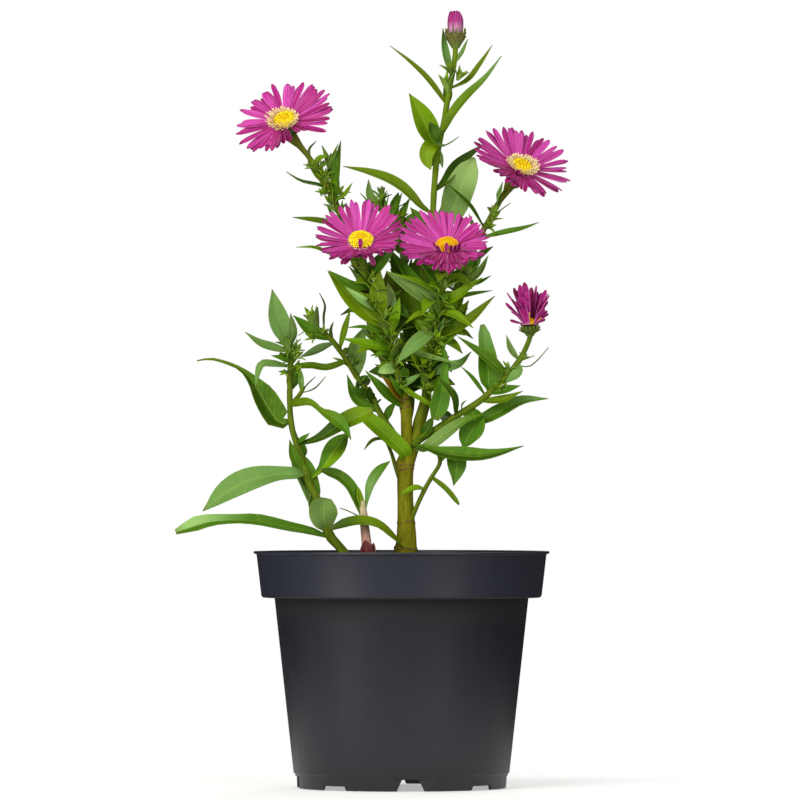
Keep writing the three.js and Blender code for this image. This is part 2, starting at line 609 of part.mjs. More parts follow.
      [213, 2.6, 50, 'lance', [27.9, -12, 215.9], [39.8, -12, 218.1]],
      [197, 4.2, 55, 'lance', [27.9, -11, 204.5], [40.6, -13, 215.9]],
      [201, 6.6, 75, 'lance', [7.2, -16, 195.7], [-2.4, -19, 186]],
      [198, 3, 60, 'lance', [17.5, -13, 202], [18.7, -15, 206.3]],
      [220, 3, 50, 'lance', [12, -21, 225], [8.1, -22, 230.9]],
      [181, 5.4, 60, 'lance', [19.1, -8, 184], [25.7, -10, 186], [30.5, -11, 191.3]],
      [196, 8.4, 80, 'spoon', [20.4, -9, 190], [20.4, -10, 180], [18.6, -10, 170], [15.4, -10, 161]],
      [205, 4.6, 0, 'lance', [18, -5, 211], [20, 2, 214]],
    ],
    twigs: [
      {
        stem: [[16.5, -13, 211, 1], [24, -11, 217.5, 1], [30, -10, 224, 0.9]],
        leaves: [
          [220, 2.8, 60, 'lance', [34, -10, 226], [38, -10, 233.5]],
          [219, 2.6, 40, 'lance', [34, -9, 221.6], [39.3, -8, 224.7]],
        ],
        tufts: [[[29, -10, 223], [0.2, -0.3, 1], 8, 6, 50]],
      },
    ],
    tufts: [[[12.2, -3.6, 184], [-0.5, -0.7, 0.5], 7, 5, 50]],
    flower: 'bloom_3',
    cup: [4.4, 8.2, 1.7],
  },
  bloom_4_stem: {
    lean: 0.07,
    onStem: true,
    stem: [[9, 2, 166, 1.4], [12.8, 6.6, 179, 1.4], [17.4, 8, 192.2, 1.4], [23.5, 9, 214.2, 1.4],
      [30.1, 9.4, 231.7, 1.3], [34, 9.6, 241.4, 1.3], [38.9, 9.8, 250.2, 1.3],
      [43.3, 9.8, 258.1, 1.3], [47, 9.4, 263.4, 1.3], [50.1, 8.9, 268.2, 1.4]],
    leaves: [
      [256.8, 2.4, 50, 'lance', [43, 6, 261], [44.1, 4, 266]],
      [252, 1, 0, 'lance', [43, 7, 253.5], [48.1, 6, 257.2]],
      [242.3, 2.4, 50, 'lance', [43.3, 7, 244.5], [53.4, 5, 246.7], [60.4, 4, 248.9]],
      [248, 1.9, 0, 'lance', [30.1, 4, 256.8], [19.5, 1, 266.9]],
      [243, 2.6, 60, 'lance', [31.5, 6, 247], [29.7, 4, 252.4]],
      [194, 7.4, 70, 'lance', [24, 4.5, 204.5], [29.6, 4, 214.2]],
      [222, 4.6, 0, 'lance', [30, 18, 228], [33, 27, 231]],
      [205, 4.6, 0, 'lance', [22, 19, 211], [20, 28, 214]],
    ],
    tufts: [[[40.6, 8.6, 253], [-0.4, -0.7, 0.7], 6, 6, 45]],
    flower: 'bloom_4',
    cup: [4.4, 8.4, 1.4],
  },
  back_bud_shoot: {
    lean: 0.08,
    onStem: true,
    stem: [[2.2, 0, 157, 1.1], [4.4, 6, 167, 1.2], [4.4, 9, 184, 1.2], [3.4, 11, 214.2, 1.2],
      [1.5, 11, 231.7, 1.1], [-2.9, 10, 244.9, 1.1], [-6.4, 9, 253.7, 1.1],
      [-8.6, 8, 260.3, 1]],
    leaves: [
      [256, 4.4, 80, 'lance', [-13, 7, 261], [-14.7, 6, 267.7]],
      [254, 2, 40, 'lance', [-13, 5, 256], [-18.2, 4, 261.6]],
      [254, 1, 0, 'lance', [-1.5, 7, 255.4], [4.6, 6, 259]],
      [250, 3.4, 60, 'lance', [-2.4, 7, 256], [0.2, 6, 261.6]],
      [222, 7, 70, 'lance', [-2, 6, 229], [-4.6, 4, 236]],
      [238, 4.6, 0, 'lance', [2, 19, 243], [5, 27, 245]],
      [200, 4.6, 0, 'lance', [2, 19, 206], [-1, 28, 208]],
      [178, 4.6, 0, 'lance', [1, 15, 183], [-3, 23, 184]],
    ],
    tufts: [[[-8.6, 8, 259.6], [0, -0.2, 1], 6.5, 6, 40]],
  },
  bud_stem: {
    lean: 0.04,
    onStem: true,
    stem: [[11, 2.3, 171, 1.3], [12.4, 3.4, 184, 1.3], [13.4, 5, 214.2, 1.3],
      [13.8, 6, 244.9, 1.3], [14.3, 6, 262.5, 1.3], [16, 6, 280.1, 1.25], [18.7, 5.5, 293.2, 1.2],
      [20.9, 5, 306.4, 1.2], [23.1, 4.4, 317.4, 1.1], [23.9, 4.2, 325.4, 1.2]],
    leaves: [
      [313, 4, 60, 'lance', [19.1, 2, 324], [18.2, 1, 334.1]],
      [318.3, 2.4, 50, 'lance', [26.5, 3, 323], [29.2, 2, 329.3]],
      [301, 2.6, 50, 'lance', [12.5, 3, 311.2], [3.7, 0, 319.2], [-5.1, -2, 326.2]],
      [309, 1.9, 0, 'lance', [29.7, 7, 312.1], [35.8, 8, 319.2], [39.8, 9, 325.7]],
      [291, 4.2, 50, 'lance', [24.8, 2, 299.4], [29.7, 0, 305.1], [37.1, -2, 311.7],
        [44.1, -4, 321.1]],
      [279, 9.5, 75, 'lance', [9.9, 4, 291], [5.9, 2, 298.5], [2.9, 1, 304.7]],
      [282, 5, 50, 'lance', [15.5, 0, 288], [12.5, -2, 292.4]],
      [281.5, 1.2, 0, 'lance', [20.9, 3, 283.1], [25.3, 2, 286.2]],
      [263, 4.2, 50, 'lance', [19.1, 1, 267.8], [23.5, -1, 274.4], [30.1, -3, 280.1],
        [35.4, -4, 284.4]],
      [246, 11.5, 85, 'oval', [21.7, 10.5, 253.3], [25.3, 11, 263.4], [31.9, 11, 277.4]],
      [254.6, 5, 50, 'lance', [8.6, 3, 258.1], [4.2, 1, 262], [-0.2, 0, 266.4], [-5.5, -1, 269],
        [-13.8, -2, 271.3], [-25.7, -3, 273.5]],
      [243, 6, 65, 'lance', [8.5, 3, 249], [3.9, 2, 255]],
      [300, 3.6, 0, 'lance', [20, 14, 306], [19, 21, 309]],
      [272, 4.6, 0, 'lance', [14, 15, 278], [11, 23, 280]],
      [228, 4.6, 0, 'lance', [15, 15, 234], [18, 24, 237]],
      [198, 4.6, 0, 'lance', [13, 13, 203], [10, 22, 206]],
    ],
    tufts: [
      [[23, 4.2, 313], [0.5, -0.3, 1], 7, 5, 35],
      [[20.9, 4.6, 306], [-0.3, -0.3, 1], 12, 5, 20],
    ],
    flower: 'bud',
    cup: [4, 7.2, 1.2],
  },
};

// A shoot with its points set back by its lean for each millimetre above its root
function leaning(shoot, slope = shoot.lean ?? 0, root = shoot.stem[0][2]) {
  const back = ([x, y, z, ...rest]) => [x, y + slope * (z - root), z, ...rest];
  const { stem, leaves = [], tufts = [], twigs = [] } = shoot;
  const flower = flowers[shoot.flower];
  return {
    ...shoot,
    stem: stem.map(back),
    leaves: leaves.map((row) => [...row.slice(0, 4), ...row.slice(4).map(back)]),
    tufts: tufts.map(([foot, ...rest]) => [back(foot), ...rest]),
    twigs: twigs.map((twig) => leaning(twig, slope, root)),
    flower: flower && { ...flower, centre: back(flower.centre) },
  };
}

// The end of a stem, inside its flower's cup
function cupMiddle({ centre, axis }, [, depth, stemRadius]) {
  const middle = point(...centre).addScaledVector(point(...axis).normalize(), -0.6 * depth);
  return [...middle.toArray(), stemRadius];
}

function shootSolid({ stem, sides, leaves, tufts, twigs, flower, cup }) {
  const solids = [tube(flower ? [...stem, cupMiddle(flower, cup)] : stem, sides)];
  for (const row of leaves) solids.push(leafOn(stem, row));
  tufts.forEach((row, seed) => solids.push(tuft(row, seed)));
  for (const twig of twigs) solids.push(shootSolid(twig));
  if (flower) solids.push(involucre(point(...flower.centre), flowerAxes(flower.axis), ...cup));
  return joined(solids);
}

// The stems alone, thicker by the gap that touching pieces keep
function stemRoom(shoot) {
  return joined([shoot, ...shoot.twigs].map(({ stem, sides }) => tube(stem, sides, gap)));
}

// The pot's foot is cut away in eight places, four deep and four shallow
function footCut(turn, lowWidth, highWidth, height) {
  const shape = new THREE.Shape();
  shape.moveTo(-lowWidth / 2, -1);
  shape.lineTo(lowWidth / 2, -1);
  shape.lineTo(highWidth / 2, height);
  shape.lineTo(-highWidth / 2, height);
  shape.closePath();
  const geometry = new THREE.ExtrudeGeometry(shape, { depth: 8, bevelEnabled: false });
  geometry.rotateX(Math.PI / 2);
  geometry.translate(0, -footRadius + 6, 0);
  geometry.rotateZ(THREE.MathUtils.degToRad(turn));
  return solid(geometry);
}

function boxAt(width, depth, height, y, z, turn) {
  const geometry = new THREE.BoxGeometry(width, depth, height);
  geometry.translate(0, y, z);
  geometry.rotateZ(THREE.MathUtils.degToRad(turn));
  return solid(geometry);
}

function upright(profile, segments) {
  const geometry = new THREE.LatheGeometry(profile.map(([r, z]) => new THREE.Vector2(r, z)), segments);
  return geometry.rotateX(Math.PI / 2);
}

function pot() {
  const footInside = footRadius - 1.7;
  const profile = [[0, floorTop - floorThickness], [footInside, floorTop - floorThickness],
    [footInside, 0], [footRadius - 0.4, 0], [footRadius + 0.5, footTop],
    [bodyLowRadius, footTop + 0.4], [bodyTopRadius, collarBottom], [collarLowRadius - 0.7, collarBottom],
    [collarLowRadius, collarBottom + 0.9], [collarTopRadius, lipTop - lipThickness - 0.3],
    [lipRadius, lipTop - lipThickness], [lipRadius, lipTop], [collarTopRadius - wall - 0.2, lipTop],
    [collarLowRadius - wall, collarBottom + wall + 0.2], [bodyTopRadius - wall, collarBottom + wall],
    [bodyLowRadius - wall, floorTop], [0, floorTop]];
  let body = solid(upright(profile, potSegments));
  for (let quarter = 0; quarter < 4; quarter++) {
    const deep = notchTurn + 90 * quarter;
    body = body
      .subtract(boxAt(21, 2, 6, -footRadius - 0.1, 2.4, deep))
      .subtract(footCut(deep, 13, 7.5, 5))
      .subtract(boxAt(8, 7, 6, -footInside + 4.5, floorTop, deep))
      .subtract(footCut(deep + 45, 14, 12, 1.9));
  }
  return body;
}

function soil() {
  const under = floorTop + gap;
  const slope = (bodyTopRadius - bodyLowRadius) / (collarBottom - footTop);
  const lowRadius = bodyLowRadius - wall - gap;
  const ledgeRadius = lowRadius + slope * (collarBottom - under) - 0.1;
  const collarInside = collarLowRadius - wall - gap - 0.2;
  const ledgeTop = collarBottom + wall + 0.2 + gap;
  const topRadii = [0.72, 0.36].map((share) => [share * collarInside, soilTop]);
  const profile = [[0, under], [lowRadius, under], [ledgeRadius, ledgeTop], [collarInside, ledgeTop],
    [collarInside + 0.6, soilTop - 1], ...topRadii, [0, soilTop]];
  const geometry = upright(profile, 20);
  const places = geometry.attributes.position;
  for (let i = 0; i < places.count; i++) {
    const [x, y, z] = [places.getX(i), places.getY(i), places.getZ(i)];
    const lump = 1.1 * Math.sin(0.21 * x + 1) * Math.cos(0.17 * y) + 0.8 * Math.sin(0.4 * x - 0.33 * y);
    if (z === soilTop) places.setZ(i, z + lump);
  }
  return solid(geometry);
}

const aster = new THREE.Group();
aster.position.x = potAxisX;
aster.add(meshOf('pot', pot(), 'pot'));

const grown = Object.entries(shoots).map(([name, shoot]) => ({ name, ...leaning(shoot) }));
const bed = grown.filter(({ onStem }) => !onStem)
  .reduce((rest, shoot) => rest.subtract(stemRoom(shoot)), soil());
aster.add(meshOf('soil', withoutScraps(bed), 'soil'));

const mainRoom = stemRoom(grown[0]);
grown.forEach((shoot, seed) => {
  const whole = shootSolid(shoot);
  const cut = shoot.onStem ? whole.subtract(mainRoom) : whole;
  aster.add(meshOf(shoot.name, withoutScraps(cut), shoot.onStem ? 'leaf' : 'stem'));
  const { flower } = shoot;
  if (!flower) return;
  aster.add(meshOf(`${flower.name}_rays`, rays(flower, seed, 0.5), 'petal'));
  if (flower.disc) aster.add(meshOf(`${flower.name}_disc`, disc(flower), 'disc'));
});

export default aster;
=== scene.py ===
import math

import bmesh
import bpy
import numpy as np
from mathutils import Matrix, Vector


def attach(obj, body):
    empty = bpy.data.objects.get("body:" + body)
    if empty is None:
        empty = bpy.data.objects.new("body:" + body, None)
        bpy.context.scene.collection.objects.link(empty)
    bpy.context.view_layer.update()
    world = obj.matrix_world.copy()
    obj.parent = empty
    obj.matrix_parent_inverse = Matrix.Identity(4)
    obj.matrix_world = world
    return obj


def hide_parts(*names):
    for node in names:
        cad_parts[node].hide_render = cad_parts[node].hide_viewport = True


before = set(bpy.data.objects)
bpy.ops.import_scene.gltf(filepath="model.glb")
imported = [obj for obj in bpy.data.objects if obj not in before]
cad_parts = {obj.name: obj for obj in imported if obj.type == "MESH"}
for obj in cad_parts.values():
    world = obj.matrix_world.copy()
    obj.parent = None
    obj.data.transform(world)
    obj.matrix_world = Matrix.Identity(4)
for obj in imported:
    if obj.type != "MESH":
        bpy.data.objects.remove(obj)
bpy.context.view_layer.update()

# A leafy aster in bloom, in a round nursery pot. The plant's and the pot's values are in
# millimetres from the pot's axis and the ground, and Blender's own lengths are metres.
mm = 0.001
potAxisX = 12.4  # the pot stands this far right of the whole plant's middle
viewer = np.array([0.0, -1.0, 0.0])
skyward = np.array([0.0, 0.0, 1.0])


def shown(red, green, blue):
    # a colour as the eye gives it, 0 to 255, turned into light
    parts = []
    for value in (red, green, blue):
        share = value / 255
        parts.append(share / 12.92 if share <= 0.04045 else ((share + 0.055) / 1.055) ** 2.4)
    return tuple(parts)


def unit(arrows):
    return arrows / np.maximum(np.linalg.norm(arrows, axis=-1, keepdims=True), 1e-9)


# Materials, written as sums on sockets
class Signal:
    # one socket of a material, on which plain sums can be written
    def __init__(self, paint, socket):
        self.paint = paint
        self.socket = socket

    def __add__(self, other):
        return self.paint.sum("ADD", self, other)

    def __radd__(self, other):
        return self.paint.sum("ADD", other, self)

    def __sub__(self, other):
        return self.paint.sum("SUBTRACT", self, other)

    def __rsub__(self, other):
        return self.paint.sum("SUBTRACT", other, self)

    def __mul__(self, other):
        return self.paint.sum("MULTIPLY", self, other)

    def __rmul__(self, other):
        return self.paint.sum("MULTIPLY", other, self)


class Paint:
    # a material with a Principled shader at its end
    def __init__(self, name, **fixed):
        self.material = bpy.data.materials.new(name)
        self.material.use_nodes = True
        self.nodes = self.material.node_tree.nodes
        self.shader = self.nodes["Principled BSDF"]
        for label, value in fixed.items():
            self.shader.inputs[label].default_value = value

    def node(self, kind, settings, sockets):
        # settings come first, because they change which sockets a node has
        made = self.nodes.new(kind)
        for label, value in settings.items():
            setattr(made, label, value)
        for label, value in sockets.items():
            socket = made.inputs[label]
            if isinstance(value, Signal):
                self.material.node_tree.links.new(value.socket, socket)
            else:
                socket.default_value = value
        return made

    def sum(self, operation, first, second):
        made = self.node("ShaderNodeMath", {"operation": operation}, {0: first, 1: second})
        return Signal(self, made.outputs[0])

    def clamp(self, value):
        made = self.node("ShaderNodeClamp", {}, {"Value": value})
        return Signal(self, made.outputs[0])

    def step(self, value, low, high):
        # 0 under low, 1 over high and smooth between them
        made = self.node("ShaderNodeMapRange", {"interpolation_type": "SMOOTHSTEP"},
                         {"Value": value, "From Min": low, "From Max": high})
        return Signal(self, made.outputs[0])

    def mix(self, share, first, second, way="MIX"):
        made = self.node("ShaderNodeMix", {"data_type": "RGBA", "blend_type": way}, {})
        for place, value in ((0, share), (6, first), (7, second)):
            if isinstance(value, Signal):
                self.material.node_tree.links.new(value.socket, made.inputs[place])
            else:
                made.inputs[place].default_value = value if place == 0 else (*value, 1)
        return Signal(self, made.outputs[2])

    def attribute(self, label):
        made = self.node("ShaderNodeAttribute", {"attribute_name": label}, {})
        return Signal(self, made.outputs["Color"]), Signal(self, made.outputs["Vector"])

    def split(self, vector):
        made = self.node("ShaderNodeSeparateXYZ", {}, {"Vector": vector})
        return [Signal(self, made.outputs[k]) for k in range(3)]

    def join(self, x, y, z):
        made = self.node("ShaderNodeCombineXYZ", {}, {0: x, 1: y, 2: z})
        return Signal(self, made.outputs[0])

    def place(self):
        # object coordinates, which are metres in the shared frame
        made = self.node("ShaderNodeTexCoord", {}, {})
        return Signal(self, made.outputs["Object"])

    def stretch(self, vector, scale):
        made = self.node("ShaderNodeVectorMath", {"operation": "MULTIPLY"}, {0: vector, 1: scale})
        return Signal(self, made.outputs[0])

    def noise(self, vector, scale, detail=3.0, roughness=0.55):
        made = self.node("ShaderNodeTexNoise", {},
                         {"Vector": vector, "Scale": scale, "Detail": detail, "Roughness": roughness})
        return Signal(self, made.outputs["Fac"])

    def finish(self, colour, roughness, height, depth, strength):
        # joins the colour, the roughness and a relief to the shader
        links = self.material.node_tree.links
        links.new(colour.socket, self.shader.inputs["Base Color"])
        links.new(roughness.socket, self.shader.inputs["Roughness"])
        bump = self.node("ShaderNodeBump", {}, {"Height": height, "Distance": depth, "Strength": strength})
        links.new(bump.outputs[0], self.shader.inputs["Normal"])
        return self.material


selectModes = {
    "verts": (True, False, False),
    "edges": (False, True, False),
    "faces": (False, False, True),
}


def startShape(kind, **sizes):
    # a primitive alone in edit mode
    bpy.ops.object.select_all(action="DESELECT")
    getattr(bpy.ops.mesh, f"primitive_{kind}_add")(**sizes)
    bpy.context.tool_settings.mesh_select_mode = selectModes["verts"]
    bpy.ops.object.mode_set(mode="EDIT")
    return bpy.context.object


def pick(kind, test):
    # selects what the test says yes to, by its middle and its normal or direction
    bpy.context.tool_settings.mesh_select_mode = selectModes[kind]
    bpy.ops.mesh.select_all(action="DESELECT")
    mesh = bmesh.from_edit_mesh(bpy.context.object.data)
    for part in getattr(mesh, kind):
        if kind == "verts":
            middle, arrow = part.co, part.normal
        elif kind == "edges":
            middle = (part.verts[0].co + part.verts[1].co) / 2
            arrow = (part.verts[1].co - part.verts[0].co).normalized()
        else:
            middle, arrow = part.calc_center_median(), part.normal
        if test(middle, arrow):
            part.select_set(True)
    mesh.select_flush_mode()
    bmesh.update_edit_mesh(bpy.context.object.data)


def takeShape():
    # the finished master's points and faces, its object gone
    bpy.ops.object.mode_set(mode="OBJECT")
    shape = bpy.context.object
    points = np.array([corner.co for corner in shape.data.vertices], dtype=float)
    faces = [tuple(face.vertices) for face in shape.data.polygons]
    bpy.data.objects.remove(shape, do_unlink=True)
    return points, faces


def between(stations, share):
    # a smooth value between evenly spaced stations
    place = share * (len(stations) - 1)
    low = min(int(place), len(stations) - 2)
    rest = place - low
    near = [stations[max(low - 1, 0)], *stations[low:low + 2], stations[min(low + 2, len(stations) - 1)]]
    ease = rest * rest * (3 - 2 * rest)
    return (near[1] + (near[2] - near[1]) * ease + (near[2] - near[0]) / 2 * rest * (1 - rest) ** 2
            - (near[3] - near[1]) / 2 * rest ** 2 * (1 - rest))


def bladeMaster(columns, rows, stations, lift, blunt=0.0):
    # a flat blade, 1 long and 1 wide, its columns raised and its rows drawn in to the stations
    near = 0.001
    startShape("grid", x_subdivisions=columns, y_subdivisions=rows, size=1)
    for step in range(columns + 1):
        across = step / columns - 0.5
        pick("verts", lambda at, _: abs(at.x - across) < near)
        bpy.ops.transform.translate(value=(0, 0, lift(abs(2 * across))))
    for step in range(rows + 1):
        along = step / rows - 0.5
        width = between(stations, step / rows)
        pick("verts", lambda at, _: abs(at.y - along) < near)
        bpy.ops.transform.resize(value=(width, 1, width), center_override=(0, along, 0))
    if blunt:
        # the corners of the last row are drawn back, which rounds the tip
        for step in range(1, columns // 2 + 1):
            side = 2 * step / columns
            pick("verts", lambda at, _: at.y > 0.49 and abs(abs(at.x) - side * width / 2) < near)
            bpy.ops.transform.translate(value=(0, -blunt * side ** 2, 0))
    points, faces = takeShape()
    points[:, 1] += 0.5
    widths = np.array([between(stations, min(u, 1.0)) for u in points[:, 1]])
    marks = np.stack([np.clip(2 * points[:, 0] / widths, -1, 1), points[:, 1]], 1)
    return {"points": points, "faces": faces, "marks": marks}


# Shares of the full width along a blade, at even steps from its root to its tip
outlines = {
    "lance": [0.42, 0.52, 0.82, 0.98, 0.98, 0.86, 0.63, 0.33, 0.03],
    "spoon": [0.3, 0.26, 0.34, 0.61, 0.87, 1.0, 0.93, 0.6, 0.05],
    "oval": [0.3, 0.59, 0.84, 0.97, 1.0, 0.92, 0.75, 0.48, 0.05],
    "broadBase": [0.55, 0.78, 0.97, 0.99, 0.89, 0.71, 0.49, 0.25, 0.03],
    "strap": [0.6, 0.8, 0.95, 1.0, 1.0, 1.0, 0.95, 0.8, 0.3],
    "twisted": [0.4, 0.54, 0.68, 0.78, 0.8, 0.66, 0.78, 1.0, 0.35],
    "blunt": [0.4, 0.78, 0.97, 1.0, 0.92, 0.8, 0.66, 0.54, 0.2],
    "winged": [0.5, 0.5, 0.58, 0.78, 0.96, 1.0, 0.84, 0.5, 0.04],
    "tailed": [0.5, 0.95, 1.0, 0.88, 0.46, 0.18, 0.13, 0.1, 0.04],
    "round": [0.36, 0.56, 0.76, 0.92, 1.0, 1.0, 0.9, 0.66, 0.08],
    "club": [0.26, 0.3, 0.4, 0.56, 0.76, 0.94, 1.0, 0.92, 0.3],
    "paddle": [0.32, 0.3, 0.3, 0.34, 0.52, 0.84, 1.0, 0.95, 0.4],
    "necked": [0.5, 0.75, 0.8, 0.5, 0.42, 0.8, 1.0, 0.6, 0.04],
    "fan": [0.2, 0.36, 0.58, 0.78, 0.93, 1.0, 0.97, 0.8, 0.4],
    "petioled": [0.3, 0.22, 0.4, 0.82, 1.0, 0.92, 0.66, 0.32, 0.03],
}
bladeHabit = {
    "rise": 0.17, "groove": 0.03, "smallRise": 0.16, "leafletRise": 0.22, "bractHollow": 0.16,
    "bract": [0.8, 0.95, 1.0, 0.85, 0.55, 0.06],
    "petal": [0.34, 0.46, 0.6, 0.74, 0.87, 0.96, 1.0, 1.0, 0.9, 0.58],
    "petalRidges": [[0.1, 0.02], [0.4, -0.05], [0.8, 0.04], [1.1, -0.03]], "petalBlunt": 0.05,
}


def leafRise(side):
    # the raised halves of a leaf, with a groove at its midrib
    return bladeHabit["rise"] * side ** 1.5 - bladeHabit["groove"] * (side < 0.1)


def petalRidge(side):
    # the shallow ridges along a ray floret, each up to its limit from the middle
    return next(height for limit, height in bladeHabit["petalRidges"] if side < limit)


masters = {}
for label, stations in outlines.items():
    masters[label] = bladeMaster(6, 15, stations, leafRise)
    masters[label + "Small"] = bladeMaster(2, 8, stations, lambda side: bladeHabit["smallRise"] * side)
masters["leaflet"] = bladeMaster(2, 5, outlines["lance"], lambda side: bladeHabit["leafletRise"] * side)
masters["bract"] = bladeMaster(2, 5, bladeHabit["bract"],
                               lambda side: -bladeHabit["bractHollow"] * side ** 2)
masters["petal"] = bladeMaster(6, 9, bladeHabit["petal"], petalRidge, bladeHabit["petalBlunt"])
print("stage: blades modelled")


def stemMaster(sides, cuts):
    # a round bar, 1 long and 1 in radius, with rings cut along it
    startShape("cylinder", vertices=sides, radius=1, depth=1)
    pick("edges", lambda _, arrow: abs(arrow.z) > 0.9)
    bpy.ops.mesh.subdivide(number_cuts=cuts)
    points, faces = takeShape()
    points[:, 2] += 0.5
    return {"points": points, "faces": faces}


floretHabit = {"radius": 0.32, "rim": 0.12}


def floretMaster(flare, throat, height):
    # a five-sided floret, drawn in at its middle and flared or closed at its mouth
    startShape("cylinder", vertices=5, radius=floretHabit["radius"], depth=1, location=(0, 0, 0))
    pick("faces", lambda _, normal: normal.z > 0.9)
    bpy.ops.mesh.extrude_region_move(TRANSFORM_OT_translate={"value": (0, 0, height)})
    bpy.ops.transform.resize(value=(flare, flare, 1))
    bpy.ops.mesh.inset(thickness=floretHabit["rim"], depth=0)
    bpy.ops.transform.translate(value=(0, 0, throat))
    points, faces = takeShape()
    points[:, 2] += 0.5
    return {"points": points, "faces": faces}


threadHabit = {
    "foot": 0.5, "neck": 0.34, "bulbTall": 0.16, "bulbWide": 1.9, "tipTall": 0.18, "tipWide": 0.35,
}


def threadMaster():
    # a thin tapered thread with a bulb at its tip
    startShape("cone", vertices=4, radius1=threadHabit["foot"], radius2=threadHabit["neck"], depth=1)
    pick("faces", lambda _, normal: normal.z > 0.9)
    for tall, wide in (("bulbTall", "bulbWide"), ("tipTall", "tipWide")):
        rise = (0, 0, threadHabit[tall])
        bpy.ops.mesh.extrude_region_move(TRANSFORM_OT_translate={"value": rise})
        bpy.ops.transform.resize(value=(threadHabit[wide], threadHabit[wide], 1))
    points, faces = takeShape()
    points[:, 2] = (points[:, 2] + 0.5) / (1 + threadHabit["bulbTall"] + threadHabit["tipTall"])
    return {"points": points, "faces": faces}


masters["stem"] = stemMaster(sides=12, cuts=27)
masters["trunk"] = stemMaster(sides=18, cuts=99)
masters["core"] = stemMaster(sides=20, cuts=9)
masters["openFloret"] = floretMaster(flare=1.75, throat=-0.3, height=0.25)
masters["closedFloret"] = floretMaster(flare=0.62, throat=0.08, height=0.3)
masters["thread"] = threadMaster()
print("stage: stems and florets modelled")


def smoothLine(points):
    # a centripetal curve through the points, with the length along it from 0 to 1
    points = np.array(points, dtype=float)
    points = np.vstack([2 * points[0] - points[1], points, 2 * points[-1] - points[-2]])
    pieces = []
    between = 12  # steps from one point to the next
    steps = np.linspace(0, 1, between + 1)[:-1, None]
    for k in range(1, len(points) - 2):
        before, here, there, after = points[k - 1:k + 3]
        first, gap, last = [max(np.linalg.norm(b - a), 1e-6) ** 0.5
                            for a, b in ((before, here), (here, there), (there, after))]
        leave = (here - before) / first - (there - before) / (first + gap) + (there - here) / gap
        reach = (there - here) / gap - (after - here) / (gap + last) + (after - there) / last
        leave = leave * gap
        reach = reach * gap
        cubic = 2 * here - 2 * there + leave + reach
        square = -3 * here + 3 * there - 2 * leave - reach
        pieces.append(here + leave * steps + square * steps ** 2 + cubic * steps ** 3)
    line = np.vstack([*pieces, points[-2:-1]])
    lengths = np.concatenate([[0], np.cumsum(np.linalg.norm(np.diff(line, axis=0), axis=1))])
    return line, lengths


def track(points, facing):
    # centres and three directions along a curve; facing gives the upper side's direction
    line, lengths = smoothLine(points)
    along = unit(np.gradient(line, axis=0))
    guide = facing(along)
    up = unit(guide - along * np.sum(guide * along, axis=1, keepdims=True))
    return {"share": lengths / lengths[-1], "long": lengths[-1], "line": line,
            "across": np.cross(along, up), "up": up}


def spread(way, field, shares):
    return np.stack([np.interp(shares, way["share"], way[field][:, k]) for k in range(3)], 1)


def layBlade(master, way, wide, rootHalf=None, ripple=0.0, phase=0.0, twist=0.0):
    # bends a copy of a blade along a track, with a little ripple and twist of its own
    x, y, z = master["points"].T
    if rootHalf is not None:
        # near its root the blade is no wider than the stem it clasps
        limit = rootHalf + (0.5 * wide + 0.01) * np.minimum(1, 7 * y) ** 1.3
        narrowed = np.minimum(1, limit / np.maximum(np.abs(x).max() * wide, 1e-6))
        x = x * narrowed
        z = z * narrowed
    z = z + ripple * (2 * x) ** 2 * np.sin(2 * math.pi * (1.6 * y + phase))
    turn = np.radians(twist) * y
    x, z = x * np.cos(turn) - z * np.sin(turn), x * np.sin(turn) + z * np.cos(turn)
    return (spread(way, "line", y) + spread(way, "across", y) * (x * wide)[:, None]
            + spread(way, "up", y) * (z * wide)[:, None])


class Bundle:
    # many shapes gathered into one mesh, each with its marks and colour
    def __init__(self):
        self.points = []
        self.faces = []
        self.marks = []
        self.hues = []
        self.count = 0

    def add(self, points, faces, marks, hue):
        self.faces += [tuple(corner + self.count for corner in face) for face in faces]
        self.points.append(points)
        self.marks.append(marks)
        self.hues.append(np.broadcast_to(np.asarray(hue, dtype=float), points.shape))
        self.count += len(points)

    def piece(self, name, finishes, slot, nodes, thick=0.0, smooth=50):
        mesh = bpy.data.meshes.new(name)
        points = (np.vstack(self.points) + [potAxisX, 0, 0]) * mm
        mesh.from_pydata(points.tolist(), [], self.faces)
        marks = mesh.attributes.new("blade", "FLOAT_VECTOR", "POINT")
        marks.data.foreach_set("vector", np.vstack(self.marks).ravel())
        hues = mesh.attributes.new("hue", "FLOAT_COLOR", "POINT")
        colours = np.vstack(self.hues)
        hues.data.foreach_set("color", np.hstack([colours, np.ones((len(colours), 1))]).ravel())
        for finish in finishes:
            mesh.materials.append(finish)
        made = bpy.data.objects.new(name, mesh)
        bpy.context.scene.collection.objects.link(made)
        finishPiece(made, nodes, thick, smooth)


def activate(piece):
    bpy.ops.object.select_all(action="DESELECT")
    piece.select_set(True)
    bpy.context.view_layer.objects.active = piece


def applyModifier(piece, kind, **settings):
    activate(piece)
    bpy.ops.object.modifier_add(type=kind)
    modifier = piece.modifiers[-1]
    for label, value in settings.items():
        setattr(modifier, label, value)
    bpy.ops.object.modifier_apply(modifier=modifier.name)


def finishPiece(piece, nodes, thick=0.0, smooth=50):
    if thick:
        applyModifier(piece, "SOLIDIFY", thickness=thick * mm, offset=0, material_offset=1)
    activate(piece)
    bpy.ops.object.shade_smooth_by_angle(angle=math.radians(smooth))
    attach(piece, "root")
    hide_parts(*nodes)


